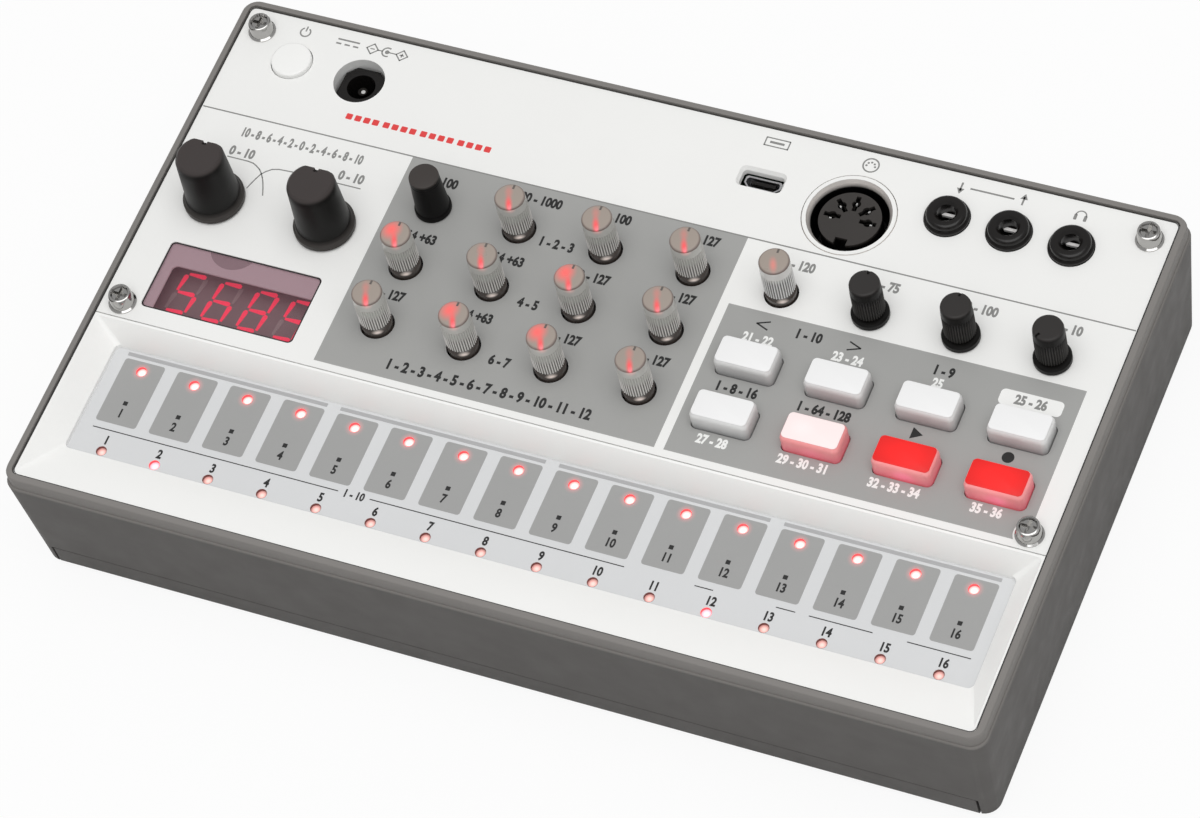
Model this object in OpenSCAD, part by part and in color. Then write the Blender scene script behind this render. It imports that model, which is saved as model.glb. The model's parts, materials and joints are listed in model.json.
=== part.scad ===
// Table-top drum machine: a shallow tapered case with a white panel of rotary controls and keys,
// a sloping bezel round a touch strip, and a battery bay behind a cover along the front edge.
// The origin is on the table under the centre of the panel. +X is right, +Y is away from the
// player and +Z is up.

/* [Case] */
// Width of the case at its rim
case_w = 193; // [191:1:200]
// Depth of the case at its rim
case_d = 115; // [115:1:122]
// Height from the underside of the floor to the panel face
case_h = 30.6; // [30:0.2:36]
// Thickness of the walls and of the floor
wall_t = 2.2; // [1.8:0.1:2.4]
// How far each side wall leans in from rim to floor
side_draft = 1.1; // [0.6:0.1:1.4]
// How far the front and back walls lean in from rim to floor
end_draft = 1.9; // [1.4:0.1:2]
// Radius of the vertical corners
corner_r = 3.2; // [2.6:0.1:4]
// Radius of the edge between walls and floor
floor_edge_r = 1; // [0.6:0.1:1.4]
// Width of the rim from its outer face to the panel edge
rim_w = 2; // [1.8:0.1:2.2]
// Height of the rim over the panel face
rim_rise = 0.5; // [0.2:0.1:0.8]
// Depth of the step line below the panel face
step_drop = 2.6; // [2:0.1:3.4]
// How far the rim stands back above the step line
step_in = 0.45; // [0.2:0.05:0.6]
// Radius of the rim's top edge
rim_edge_r = 0.6; // [0.3:0.1:0.7]
// Height of the rubber feet below the floor
foot_h = 0.9; // [0.6:0.1:2]
// Diameter of the rubber feet
foot_d = 10; // [8:0.5:12]

/* [Panel] */
// Thickness of the front panel
panel_t = 2; // [1.8:0.1:2.4]
// Gap between the panel edge and the rim
panel_gap = 0.25; // [0.15:0.05:0.35]
// Corner radius of the panel and of the bezel
panel_corner_r = 1.2; // [0.8:0.1:2]
// Clear height between the panel and the main board
board_drop = 10; // [9.5:0.1:11]
// Diameter of the posts that carry the main board
post_d = 4.4; // [4:0.1:4.8]
// Distance of the panel screws from the side edges
screw_inset_x = 4.3; // [4:0.1:5]
// Distance of the rear panel screws from the rear edge
screw_inset_y = 4.9; // [4.5:0.1:6]
// Distance of the front panel screws from the seam
screw_seam_gap = 3.3; // [3.2:0.1:4]
// Diameter of the panel screw heads at their foot
screw_head_d = 4.7; // [4.2:0.1:5]
// Height of the panel screw heads
screw_head_h = 3.2; // [2.6:0.1:3.6]
// Diameter of the panel and case screw shanks
screw_d = 2.9; // [2.5:0.1:3]

/* [Rotary controls] */
// Distance of the left column of small controls from the left edge of the panel
column_left = 53.35; // [52.5:0.05:54]
// Distance of the right column of small controls from the right edge of the panel
column_right = 12.59; // [12:0.01:13.4]
// Distance of the rear row of small controls from the rear edge of the panel
row_rear = 34.4; // [34:0.1:35]
// Distance of the front row of small controls from the seam
row_front = 12.2; // [11.9:0.1:12.6]
// Diameter of the shaft holes in the panel
shaft_hole_d = 6.6; // [6.4:0.1:6.8]
// Height of the small shafts over the panel
shaft_h = 10.6; // [9.6:0.2:12]
// Diameter of the small shafts at the top
shaft_top_d = 5.8; // [5.4:0.1:5.9]
// Diameter of the small shafts over the ribs
shaft_rib_d = 6; // [5.8:0.1:6.1]
// Number of ribs round a shaft
rib_count = 36; // [20:1:40]
// Depth of the grooves between ribs
rib_depth = 0.2; // [0.1:0.02:0.3]
// Height over the panel where the ribs end
rib_h = 8; // [6:0.2:8.6]
// Diameter of the skirts on the black shafts
skirt_d = 7.2; // [6.8:0.1:7.6]
// Diameter of the journals inside the small rotary bodies
journal_d = 4; // [3:0.1:4.4]
// Height of the small rotary bodies on the board
pot_h = 6.8; // [6:0.1:7]

/* [Tone knobs] */
// Spacing of the two tall knobs
tone_pitch = 23.2; // [22:0.1:24]
// Distance of the left tall knob from the left edge of the panel
tone_left = 11.75; // [11.3:0.05:12.5]
// Distance of the tall knobs from the centre of the display window
tone_rear = 18.55; // [18.2:0.05:19]
// Height of the tall knobs over the panel
tone_h = 14.6; // [12:0.2:18]
// Diameter of the flange
tone_flange_d = 11.9; // [11:0.1:12.4]
// Thickness of the flange
tone_flange_t = 2; // [1.6:0.1:2.6]
// Diameter of the body at the flange
tone_low_d = 10.3; // [9.8:0.1:10.8]
// Diameter of the body at the top
tone_top_d = 9; // [8:0.1:9.6]
// Depth of the flat on the pointer side, at the top
tone_flat = 1.3; // [0.8:0.1:1.8]

/* [Keys] */
// Width of a key
key_w = 11.4; // [10.8:0.1:12]
// Depth of a key, front to back
key_d = 6.3; // [5.8:0.1:6.8]
// Height of a key over the panel
key_h = 4; // [3:0.1:5]
// Distance of the front row of keys from the seam
key_front = 10.7; // [10.4:0.1:11.1]
// Spacing of the two key rows
key_pitch_y = 12.1; // [11:0.1:12.2]
// Travel of the keys
key_travel = 1; // [0.6:0.1:1.2]
// Gap round a key in the panel
key_gap = 0.2; // [0.15:0.05:0.25]

/* [Display] */
// Width of the display window
window_w = 31.6; // [30:0.1:32]
// Depth of the display window, front to back
window_d = 15.2; // [14.4:0.1:15.6]
// Distance of the window's centre from the left edge of the panel
window_left = 23.5; // [23.4:0.1:23.9]
// Distance of the window's centre from the seam
window_front = 11.2; // [11:0.1:11.4]
// Depth of the glass face below the panel face
window_sunk = 0.8; // [0.4:0.1:1]
// Depth of the digits' face below the panel face
digit_drop = 5.5; // [4.5:0.1:6.5]

/* [Sockets] */
// Distance of the power button from the left edge of the panel
power_left = 12.95; // [12.5:0.05:13.5]
// Distance of the power button from the rear edge of the panel
power_rear = 10.1; // [9.9:0.1:10.9]
// Diameter of the power button
power_d = 8; // [7:0.1:8.6]
// Distance of the DC socket from the left edge of the panel
dc_left = 27.6; // [26.5:0.1:28.5]
// Distance of the DC socket from the rear edge of the panel
dc_rear = 10.85; // [10.1:0.1:11.5]
// Diameter of the DC opening in the panel
dc_hole_d = 10.1; // [9.6:0.1:10.6]
// Diameter of the DC plug bore
dc_bore_d = 5.6; // [5.5:0.1:6.2]
// Depth of the DC socket below the panel face
dc_sunk = 2; // [1.6:0.1:3]
// Depth of the collar round the DC opening below the panel face
dc_collar_deep = 4.2; // [3.6:0.1:5]
// Distance of the USB socket from the right edge of the panel
usb_right = 78.15; // [77.7:0.05:78.7]
// Distance of the USB socket from the rear edge of the panel
usb_rear = 11.45; // [10.7:0.1:11.7]
// Distance of the DIN socket from the right edge of the panel
din_right = 59.4; // [59.1:0.1:59.9]
// Distance of the DIN socket from the rear edge of the panel
din_rear = 14.65; // [13.5:0.05:14.65]
// Diameter of the DIN socket's metal flange
din_d = 17.9; // [17.4:0.1:18]
// Diameter of the DIN insert
din_core_d = 11.9; // [11.6:0.1:12.2]
// Distance of the first jack socket from the right edge of the panel
jack_right = 41.7; // [41.1:0.1:42]
// Distance of the jack sockets from the rear edge of the panel
jack_rear = 10.25; // [9.9:0.05:10.9]
// Spacing of the jack sockets
jack_pitch = 12.08; // [11.8:0.02:12.2]
// Outer diameter of the jack collars at the panel
jack_collar_d = 8.6; // [8.3:0.05:8.9]
// Diameter of the narrower upper step of the jack collars
jack_neck_d = 7.7; // [7.2:0.05:8]
// Height of the jack collars over the panel
jack_rise = 2.1; // [1.5:0.1:2.6]
// Diameter of the jack bores
jack_bore_d = 3.6; // [3.55:0.01:3.65]

/* [Touch strip] */
// Depth of the bezel, from the front edge to the seam
strip_d = 37.3; // [37.1:0.1:38.5]
// Gap at the seam between panel and bezel
seam_gap = 0.2; // [0.1:0.05:0.3]
// Distance of the strip window from each side of the bezel
strip_win_side = 4.7; // [4.5:0.1:5.5]
// Distance of the strip window from the seam
strip_win_rear = 3.1; // [2.9:0.05:3.6]
// Distance of the strip window from the front edge of the bezel
strip_win_front = 10.45; // [10:0.05:10.8]
// Depth of the foot of the slopes below the panel face
slope_drop = 4.6; // [3.6:0.1:4.8]
// Depth of the sheet face below the panel face
sheet_drop = 5.5; // [5.2:0.1:5.8]
// Thickness of the sheet
sheet_t = 1.6; // [1.2:0.1:1.8]
// Distance of the first and last pad spaces from the ends of the strip window
pad_end = 1.4; // [1.2:0.1:2.4]
// Diameter of the lamp holes
lamp_hole_d = 2.1; // [2:0.05:2.4]
// Distance of the rear lamp row from the rear edge of the strip window
lamp_rear = 3.975; // [3.5:0.025:4.5]
// Distance of the front lamp row from the front edge of the strip window
lamp_front = 1.575; // [1.3:0.025:2.1]

/* [Battery bay] */
// Diameter of a cell
cell_d = 14.2; // [13.8:0.1:14.4]
// Length of a cell's can
cell_l = 49.4; // [48.6:0.1:49.6]
// Length of a cell's button
cell_nub_l = 1.1; // [0.8:0.1:1.2]
// Free length of the contact springs
spring_l = 5; // [4:0.1:5.4]
// Thickness of the bay walls
bay_t = 1.6; // [1.4:0.1:1.8]
// Thickness of the battery cover
cover_t = 2; // [1.8:0.1:2.2]
// Distance of the battery cover's ends from the sides of the floor
cover_side = 3.2; // [2.9:0.1:3.9]
// Height of the cover's front lip over the floor
lip_h = 6; // [5:0.1:7]
// Gap at each end of the cover
cover_end_gap = 0.5; // [0.3:0.1:0.6]
// Gap behind and above the cover
cover_gap = 0.2; // [0.15:0.05:0.25]

/* [Hidden] */

$fn = 48;
hull_fn = 32;
slice = 0.01;
seat_gap = 0.3;

case_white = [0.93, 0.93, 0.92];
case_grey = [0.36, 0.35, 0.34];
trim_grey = [0.8, 0.81, 0.82];
jet_black = [0.09, 0.09, 0.09];
clear_grey = [0.62, 0.61, 0.59, 0.6];
bright_steel = [0.82, 0.83, 0.85];
board_green = [0.1, 0.32, 0.2];
lamp_red = [0.95, 0.3, 0.33];

// Levels
floor_top = foot_h + wall_t;
panel_z = foot_h + case_h;
panel_under = panel_z - panel_t;
board_top = panel_under - board_drop;
board_t = 1.6;
board_under = board_top - board_t;
sheet_z = panel_z - sheet_drop;
sheet_under = sheet_z - sheet_t;
touch_board_t = 1.2;
touch_board_under = sheet_under - touch_board_t;

// Outlines
panel_w = case_w - 2 * rim_w;
panel_d = case_d - 2 * rim_w;
floor_w = case_w - 2 * side_draft;
floor_d = case_d - 2 * end_draft;
cavity_w = floor_w - 2 * wall_t;
cavity_d = floor_d - 2 * wall_t;
cavity_corner_r = 1.5;
cover_w = floor_w - 2 * cover_side;
seam_y = strip_d - panel_d / 2;
strip_win_w = panel_w - 2 * strip_win_side;
strip_win_d = strip_d - strip_win_front - strip_win_rear;
strip_y = strip_win_front + strip_win_d / 2 - panel_d / 2;
strip_win_y = [strip_y - strip_win_d / 2, strip_y + strip_win_d / 2];
pad_pitch = (strip_win_w - 2 * pad_end) / 16;
lamp_rows = [strip_win_y[0] + lamp_front, strip_win_y[1] - lamp_rear];

// Places on the panel
first_x = column_left - panel_w / 2;
first_y = panel_d / 2 - row_rear;
pitch_x = (panel_w - column_left - column_right) / 7;
pitch_y = (first_y - seam_y - row_front) / 2;
window_x = window_left - panel_w / 2;
window_y = seam_y + window_front;
tone_x = tone_left - panel_w / 2;
tone_y = window_y + tone_rear;
power_x = power_left - panel_w / 2;
power_y = panel_d / 2 - power_rear;
dc_x = dc_left - panel_w / 2;
dc_y = panel_d / 2 - dc_rear;
usb_x = panel_w / 2 - usb_right;
usb_y = panel_d / 2 - usb_rear;
din_x = panel_w / 2 - din_right;
din_y = panel_d / 2 - din_rear;
jack_x = panel_w / 2 - jack_right;
jack_y = panel_d / 2 - jack_rear;
control_x = [for (i = [0:7]) first_x + i * pitch_x];
control_y = [for (i = [0:2]) first_y - i * pitch_y];
column_mid = [for (i = [0:6]) (control_x[i] + control_x[i + 1]) / 2];

// Panel and case screws
screw_r = screw_d / 2;
pilot_r = screw_r + 0.05;
pass_r = screw_r + 0.25;
boss_r = 3.1;
boss_bore_deep = 11;
screw_deep = 10;
screw_points = [for (sx = [-1, 1], y = [panel_d / 2 - screw_inset_y, seam_y + screw_seam_gap])
    [sx * (panel_w / 2 - screw_inset_x), y]];
bezel_post_h = 4;
bezel_post_r = 2.6;
bezel_post_x = panel_w / 2 - 7;
bezel_post_y = 6 - panel_d / 2;
bezel_post_points = [for (sx = [-1, 1]) [sx * bezel_post_x, bezel_post_y]];
bezel_post_z = sheet_z - bezel_post_h;

// Board screws
board_screw_r = 0.95;
board_pilot_r = 1;
board_pass_r = 1.2;
board_head_r = 1.9;
board_head_h = 1;
board_screw_deep = 5;
board_side_gap = 4.7;
board_front_gap = 1.4;
board_rear_gap = 0.6;
window_flange = 1.6;
post_gap = 0.3;
rear_post_gap = 14.8;
front_post_y = seam_y + board_front_gap + post_d / 2 + 0.5;
window_post_x = window_x + window_w / 2 + window_flange + post_d / 2 + post_gap;
socket_post_y = usb_y - post_d;
board_post_points = [[(power_x + dc_x) / 2, dc_y - rear_post_gap], [dc_x + 17, socket_post_y],
    [usb_x - 17, socket_post_y], [jack_x + 2.65 * jack_pitch, jack_y - jack_pitch],
    [window_post_x, front_post_y], [column_mid[3], front_post_y], [column_mid[6], front_post_y]];
touch_post_y = 5.7 - panel_d / 2;
touch_post_step = 2.1 * pad_pitch;
touch_post_points = [for (k = [-3, -1, 1, 3]) [k * touch_post_step, touch_post_y]];
touch_pilot_deep = 3.5;

// Battery bay and cover
cover_top = foot_h + cover_t;
bay_floor_z = cover_top + cover_gap;
bay_floor_t = 1.8;
bay_floor_top = bay_floor_z + bay_floor_t;
contact_t = 0.5;
cell_gap = 0.1;
cell_step = cell_l + cell_nub_l + cell_gap;
bay_in_w = 3 * cell_step + spring_l + 2 * contact_t;
cell_row_gap = 0.6;
lip_t = 1.6;
bay_front = -floor_d / 2 + lip_t + cover_gap + bay_t;
bay_in_d = 2 * cell_d + cell_row_gap + 0.8;
bay_back = bay_front + bay_in_d;
cell_z = cover_top + seat_gap + cell_d / 2;
bay_roof_t = 1.2;
bay_ceiling = cell_z + cell_d / 2 + 0.4;
bay_top = bay_ceiling + bay_roof_t;
bay_mid = (bay_front + bay_back) / 2;
cell_row_pitch = cell_d + cell_row_gap;
cover_back = bay_back + bay_t + 1.5;
lip_top = foot_h + lip_h;
tongue_l = 1.6;
tongue_w = 12;
tongue_t = 1;
tongue_side = 37.2;
tongue_x = [tongue_side - cover_w / 2, 0, cover_w / 2 - tongue_side];
foot_recess = 0.5;
foot_x = case_w / 2 - 14;
foot_rear_y = case_d / 2 - 12.5;
foot_front_y = bay_mid;

// Small rotary controls
shaft_r = shaft_top_d / 2;
rib_r = shaft_rib_d / 2;
rib_low = 2.4;
neck_r = 2.55;
collar_top = 1.6;
pot_w = 9.8;
pot_row_gap = 2.55;
pot_d = pitch_y - pot_row_gap;
pot_top = board_top + pot_h;
journal_r = journal_d / 2;
journal_deep = 5;
running_gap = 0.05;
pointer_w = 0.5;
pointer_l = 1;
pointer_deep = 0.5;
tone_pot_w = 9.5;
tone_pot_h = 7;
tone_shaft_r = 3;
tone_hole_r = 3.6;
lit_points = concat([for (i = [1:3]) [control_x[i], control_y[0]]],
    [for (j = [1:2], i = [0:3]) [control_x[i], control_y[j]]], [[control_x[4], control_y[0]]]);
black_points = [for (i = [5:7]) [control_x[i], control_y[0]]];
pot_points = concat(lit_points, black_points);
tone_points = [[tone_x, tone_y], [tone_x + tone_pitch, tone_y]];

// Keys
key_corner_r = 1.1;
key_rows = [seam_y + key_front + key_pitch_y, seam_y + key_front];
key_points = [for (y = key_rows, i = [4:7]) [control_x[i], y]];
key_flange = 1;
key_flange_t = 0.9;
key_stem_r = 2;
mat_t = 1;
lamp_w = 1.6;
lamp_d = 0.8;
lamp_h = 0.7;

// Sockets
din_points_deg = [0, 45, 90, 135, 180];
din_pin_r = 3.5;
din_wall_r = 7.45;
din_sunk = 1.1;
jack_points = [for (i = [0:2]) [jack_x + i * jack_pitch, jack_y]];
jack_w = 9.4;
jack_d = 10.8;
jack_body_top = panel_under - 0.2;
jack_hole_r = jack_collar_d / 2 + 0.12;
usb_w = 7.3;
usb_d = 2.7;
usb_sunk = 1.9;
dc_body_w = 9.2;
switch_w = 7;
window_flange_t = 1;
digit_block_w = 30;
digit_block_d = 14;
digit_block_shift = 0.7;

module round_rect(w, d, r) {
    square([w - 2 * r, d], center = true);
    square([w, d - 2 * r], center = true);
    for (sx = [-1, 1], sy = [-1, 1])
        translate([sx * (w / 2 - r), sy * (d / 2 - r)]) circle(r);
}

module slab(w, d, h, r, z = 0) {
    translate([0, 0, z]) linear_extrude(h) round_rect(w, d, r);
}

module block(w, d, h, z = 0) {
    translate([-w / 2, -d / 2, z]) cube([w, d, h]);
}

module at_points(points) {
    for (p = points)
        translate([p[0], p[1], 0]) children();
}

module rod(r, z_low, z_high) {
    translate([0, 0, z_low]) cylinder(h = z_high - z_low, r = r);
}

// ---------- case ----------

module case_slice(inset, z) {
    share = min(1, (z - foot_h) / (case_h - step_drop));
    w = floor_w + 2 * side_draft * share - 2 * inset;
    d = floor_d + 2 * end_draft * share - 2 * inset;
    slab(w, d, slice, corner_r - inset / 2, z, $fn = hull_fn);
}

module case_outer() {
    step_z = panel_z - step_drop;
    hull() {
        case_slice(floor_edge_r, foot_h);
        case_slice(floor_edge_r * 0.3, foot_h + floor_edge_r * 0.3);
        case_slice(0, foot_h + floor_edge_r);
        case_slice(0, step_z - 0.3);
        case_slice(0.3, step_z);
    }
}

module case_rim() {
    step_z = panel_z - step_drop;
    rim_top = panel_z + rim_rise;
    hull() {
        case_slice(step_in, step_z - 1);
        case_slice(step_in, rim_top - rim_edge_r);
        case_slice(step_in + rim_edge_r * 0.3, rim_top - rim_edge_r * 0.3);
        case_slice(step_in + rim_edge_r, rim_top - slice);
    }
}

module cover_space(end_gap, gap) {
    w = cover_w + 2 * end_gap;
    front = -case_d;
    back = cover_back + gap;
    lip_back = -floor_d / 2 + lip_t + gap;
    translate([-w / 2, front, -1]) cube([w, back - front, cover_top + gap + 1]);
    translate([-w / 2, front, -1]) cube([w, lip_back - front, lip_top + gap + 1]);
}

module bay_walls() {
    out_w = bay_in_w + 2 * bay_t;
    front = bay_front - bay_t;
    back = bay_back + bay_t;
    translate([-out_w / 2, front, bay_floor_z]) cube([out_w, back - front, bay_top - bay_floor_z]);
}

module bay_shelf() {
    front = bay_front - bay_t;
    back = cover_back + cover_gap + bay_floor_t;
    lip_roof = lip_top + cover_gap;
    translate([-cavity_w / 2, front, bay_floor_z]) cube([cavity_w, back - front, bay_floor_t]);
    translate([-cavity_w / 2, front, bay_floor_z])
        cube([cavity_w, bay_t, lip_roof + bay_t - bay_floor_z]);
    translate([-cavity_w / 2, front - lip_t / 2, lip_roof]) cube([cavity_w, lip_t, bay_t]);
    translate([-cavity_w / 2, cover_back + cover_gap, foot_h + floor_edge_r])
        cube([cavity_w, bay_floor_t, wall_t]);
}

module bay_ribs() {
    rib_w = 10;
    for (k = [-1:1])
        translate([k * 1.2 * cell_step - rib_w / 2, bay_back, bay_floor_top])
            cube([rib_w, bay_t, touch_board_under - bay_floor_top]);
}

module case_bosses() {
    at_points(screw_points) rod(boss_r, floor_top - 0.5, panel_under);
    at_points(bezel_post_points) rod(bezel_post_r + 0.2, bay_floor_z, bezel_post_z);
    for (sx = [-1, 1])
        translate([sx * (bezel_post_x + cavity_w / 2) / 2, bezel_post_y, 0])
            block(cavity_w / 2 - bezel_post_x, bay_t, bezel_post_z - bay_floor_z - 2, bay_floor_z);
}

module case_bottom() {
    color(case_grey) difference() {
        union() {
            difference() {
                union() {
                    case_outer();
                    case_rim();
                }
                slab(cavity_w, cavity_d, case_h, cavity_corner_r, floor_top);
                slab(panel_w + 2 * panel_gap, panel_d + 2 * panel_gap, 2 * panel_t,
                    panel_corner_r + panel_gap, panel_under);
            }
            bay_walls();
            bay_shelf();
            bay_ribs();
            case_bosses();
        }
        cover_space(cover_end_gap, cover_gap);
        translate([-bay_in_w / 2, bay_front, 0]) cube([bay_in_w, bay_in_d, bay_ceiling]);
        for (x = tongue_x)
            translate([x, 0, 0]) tongue(0.3, cover_gap);
        at_points(screw_points) rod(pilot_r, panel_under - boss_bore_deep, panel_under + 1);
        at_points(bezel_post_points) {
            rod(pass_r, bay_floor_z - 1, bezel_post_z + 1);
            rod(screw_head_d / 2 + seat_gap, bay_floor_z - 1, bay_floor_top + 0.6);
        }
        for (sx = [-1, 1])
            translate([sx * foot_x, foot_rear_y, 0]) rod(foot_d / 2 + 0.1, 0, foot_h + foot_recess);
    }
}

module tongue(side_gap, gap) {
    w = tongue_w + 2 * side_gap;
    z_low = cover_top - tongue_t - gap;
    translate([-w / 2, cover_back - 1, z_low]) cube([w, tongue_l + 1 + gap, tongue_t + 2 * gap]);
}

module battery_cover() {
    color(case_grey) difference() {
        union() {
            intersection() {
                case_outer();
                cover_space(0, 0);
            }
            for (x = tongue_x)
                translate([x, 0, 0]) tongue(0, 0);
        }
        for (sx = [-1, 1])
            translate([sx * foot_x, foot_front_y, 0]) rod(foot_d / 2 + 0.1, 0, foot_h + foot_recess);
    }
}

module foot() {
    r = foot_d / 2;
    rotate_extrude()
        polygon([[0, 0], [r - 0.4, 0], [r, 0.4], [r, foot_h + foot_recess], [0, foot_h + foot_recess]]);
}

module cover_feet() {
    color(jet_black) at_points([[-foot_x, foot_front_y], [foot_x, foot_front_y]]) foot();
}

module case_feet() {
    color(jet_black) at_points([[-foot_x, foot_rear_y], [foot_x, foot_rear_y]]) foot();
}

// ---------- panel, bezel and touch strip ----------

module panel_plate() {
    y_low = seam_y + seam_gap / 2;
    intersection() {
        slab(panel_w, panel_d, panel_t, panel_corner_r, panel_under);
        translate([-panel_w, y_low, panel_under]) cube([2 * panel_w, panel_d, panel_t]);
    }
}

module usb_mouth() {
    mouth_w = usb_w + 1;
    mouth_d = usb_d + 0.9;
    bevel = 0.5;
    translate([usb_x, usb_y, 0]) {
        slab(mouth_w, mouth_d, panel_t + 2, 0.8, panel_under - 1);
        hull() {
            slab(mouth_w, mouth_d, slice, 0.8, panel_z - 0.8, $fn = hull_fn);
            slab(mouth_w + 2 * bevel, mouth_d + 2 * bevel, slice, 1.2, panel_z, $fn = hull_fn);
        }
    }
}

module front_panel() {
    collar_r = dc_hole_d / 2 + 1.3;
    color(case_white) difference() {
        union() {
            panel_plate();
            at_points(board_post_points) rod(post_d / 2, board_top, panel_under + 0.5);
            translate([dc_x, dc_y, 0]) rod(collar_r, panel_z - dc_collar_deep, panel_under + 0.5);
        }
        at_points(concat(pot_points, [[control_x[0], control_y[0]]]))
            rod(shaft_hole_d / 2, panel_under - 1, panel_z + 1);
        at_points(tone_points) rod(tone_hole_r, panel_under - 1, panel_z + 1);
        at_points(key_points)
            slab(key_w + 2 * key_gap, key_d + 2 * key_gap, panel_t + 2, key_corner_r + key_gap,
                panel_under - 1);
        at_points(screw_points) rod(pass_r, panel_under - 1, panel_z + 1);
        at_points(jack_points) rod(jack_hole_r, panel_under - 1, panel_z + 1);
        at_points(board_post_points)
            rod(board_pilot_r, board_top - 1, board_top + board_screw_deep + 0.5);
        translate([window_x, window_y, 0])
            slab(window_w, window_d, panel_t + 2, 1, panel_under - 1);
        translate([power_x, power_y, 0]) rod(power_d / 2 + 0.15, panel_under - 1, panel_z + 1);
        translate([dc_x, dc_y, 0]) rod(dc_hole_d / 2, board_top, panel_z + 1);
        translate([din_x, din_y, 0]) rod(din_d / 2 + 0.1, panel_under - 1, panel_z + 1);
        usb_mouth();
    }
}

module strip_window(extra, z_low, z_high, r) {
    translate([0, strip_y, 0])
        slab(strip_win_w + extra, strip_win_d + extra, z_high - z_low, r, z_low);
}

module bezel_slopes() {
    lip = 0.5;
    top_d = strip_d - seam_gap / 2 - 2 * lip;
    top_y = lip + top_d / 2 - panel_d / 2;
    hull() {
        strip_window(0, panel_z - slope_drop, panel_z - slope_drop + slice, 1.2, $fn = hull_fn);
        translate([0, top_y, 0])
            slab(panel_w - 2 * lip, top_d, slice, 0.8, panel_z, $fn = hull_fn);
    }
}

module bezel_body() {
    body_gap = 0.2;
    body_w = cavity_w - 2 * body_gap;
    body_front = body_gap - cavity_d / 2;
    back = seam_y - seam_gap / 2;
    intersection() {
        slab(panel_w, panel_d, panel_t, panel_corner_r, panel_under);
        translate([-panel_w, back - panel_d, panel_under]) cube([2 * panel_w, panel_d, panel_t]);
    }
    intersection() {
        slab(body_w, -2 * body_front, panel_under - sheet_z + 0.5, cavity_corner_r, sheet_z);
        translate([-body_w / 2, body_front, 0]) cube([body_w, back - body_front, panel_z]);
    }
}

module bezel_tongue() {
    back = seam_y - seam_gap / 2;
    tongue_half = panel_w / 2 - 9;
    translate([-tongue_half, back - 1, panel_under - 1.6]) cube([2 * tongue_half, 2.3, 1.5]);
}

module bezel_hollow() {
    y_low = bezel_post_y - 2;
    y_high = strip_win_y[0] - 2.2;
    z_low = sheet_z - 1;
    rise = 1.4;
    translate([-panel_w / 2 + 12, 0, 0]) rotate([90, 0, 90])
        linear_extrude(panel_w - 24)
            polygon([[y_low, z_low], [y_high, z_low], [y_high, sheet_z + 0.1], [y_low, sheet_z + rise]]);
}

module touch_bezel() {
    color(case_white) difference() {
        union() {
            difference() {
                bezel_body();
                bezel_hollow();
            }
            bezel_tongue();
            at_points(touch_post_points) rod(post_d / 2, sheet_under, sheet_z + 2);
            at_points(bezel_post_points) rod(bezel_post_r, bezel_post_z, sheet_z + 2);
        }
        bezel_slopes();
        strip_window(0, sheet_z - 1, panel_z - slope_drop + 0.1, 1.2);
        at_points(touch_post_points)
            rod(board_pilot_r, sheet_under - 1, sheet_under + touch_pilot_deep);
        at_points(bezel_post_points) rod(pilot_r, bezel_post_z - 1, sheet_z + 1);
    }
}

module lamp_points_do() {
    for (i = [0:15], y = lamp_rows)
        translate([(i - 7.5) * pad_pitch, y, 0]) children();
}

module touch_sheet() {
    overlap = 3.6;
    color(trim_grey) difference() {
        strip_window(overlap, sheet_under, sheet_z, 1);
        lamp_points_do() rod(lamp_hole_d / 2, sheet_under - 1, sheet_z + 1);
    }
}

module touch_board() {
    overlap = 3.6;
    ear_w = 2 * bezel_post_x - 9;
    front = touch_post_y - 2.8;
    color(board_green) difference() {
        union() {
            strip_window(overlap, touch_board_under, sheet_under, 1);
            translate([-ear_w / 2, front, touch_board_under])
                cube([ear_w, strip_y - front, touch_board_t]);
        }
        at_points(touch_post_points) rod(board_pass_r, touch_board_under - 1, sheet_under + 1);
    }
}

module step_lamps() {
    color(lamp_red) lamp_points_do() block(lamp_w, lamp_d, lamp_h, sheet_under);
}

// ---------- display ----------

module display_window() {
    fit = 0.1;
    flange_low = panel_under - window_flange_t;
    color([0.45, 0.33, 0.36, 0.6]) {
        translate([window_x, window_y, 0])
            slab(window_w - 2 * fit, window_d - 2 * fit, panel_z - window_sunk - flange_low, 0.9,
                flange_low);
        difference() {
            translate([window_x, window_y, 0])
                slab(window_w + 2 * window_flange, window_d + 2 * window_flange, window_flange_t,
                    1.5, flange_low);
            at_points(screw_points) rod(boss_r + 0.2, flange_low - 1, panel_under + 1);
        }
    }
}

module display_module() {
    face_z = panel_z - digit_drop;
    color([0.25, 0.22, 0.22])
        translate([window_x - digit_block_shift, window_y - digit_block_shift, 0])
            block(digit_block_w, digit_block_d, face_z - board_top, board_top);
}

// ---------- boards ----------

module main_board() {
    board_w = cavity_w - 2 * board_side_gap;
    front = seam_y + board_front_gap;
    back = cavity_d / 2 - board_rear_gap;
    color(board_green) difference() {
        translate([-board_w / 2, front, board_under]) cube([board_w, back - front, board_t]);
        at_points(screw_points) rod(boss_r + 0.6, board_under - 1, board_top + 1);
        at_points(board_post_points) rod(board_pass_r, board_under - 1, board_top + 1);
    }
}

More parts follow.
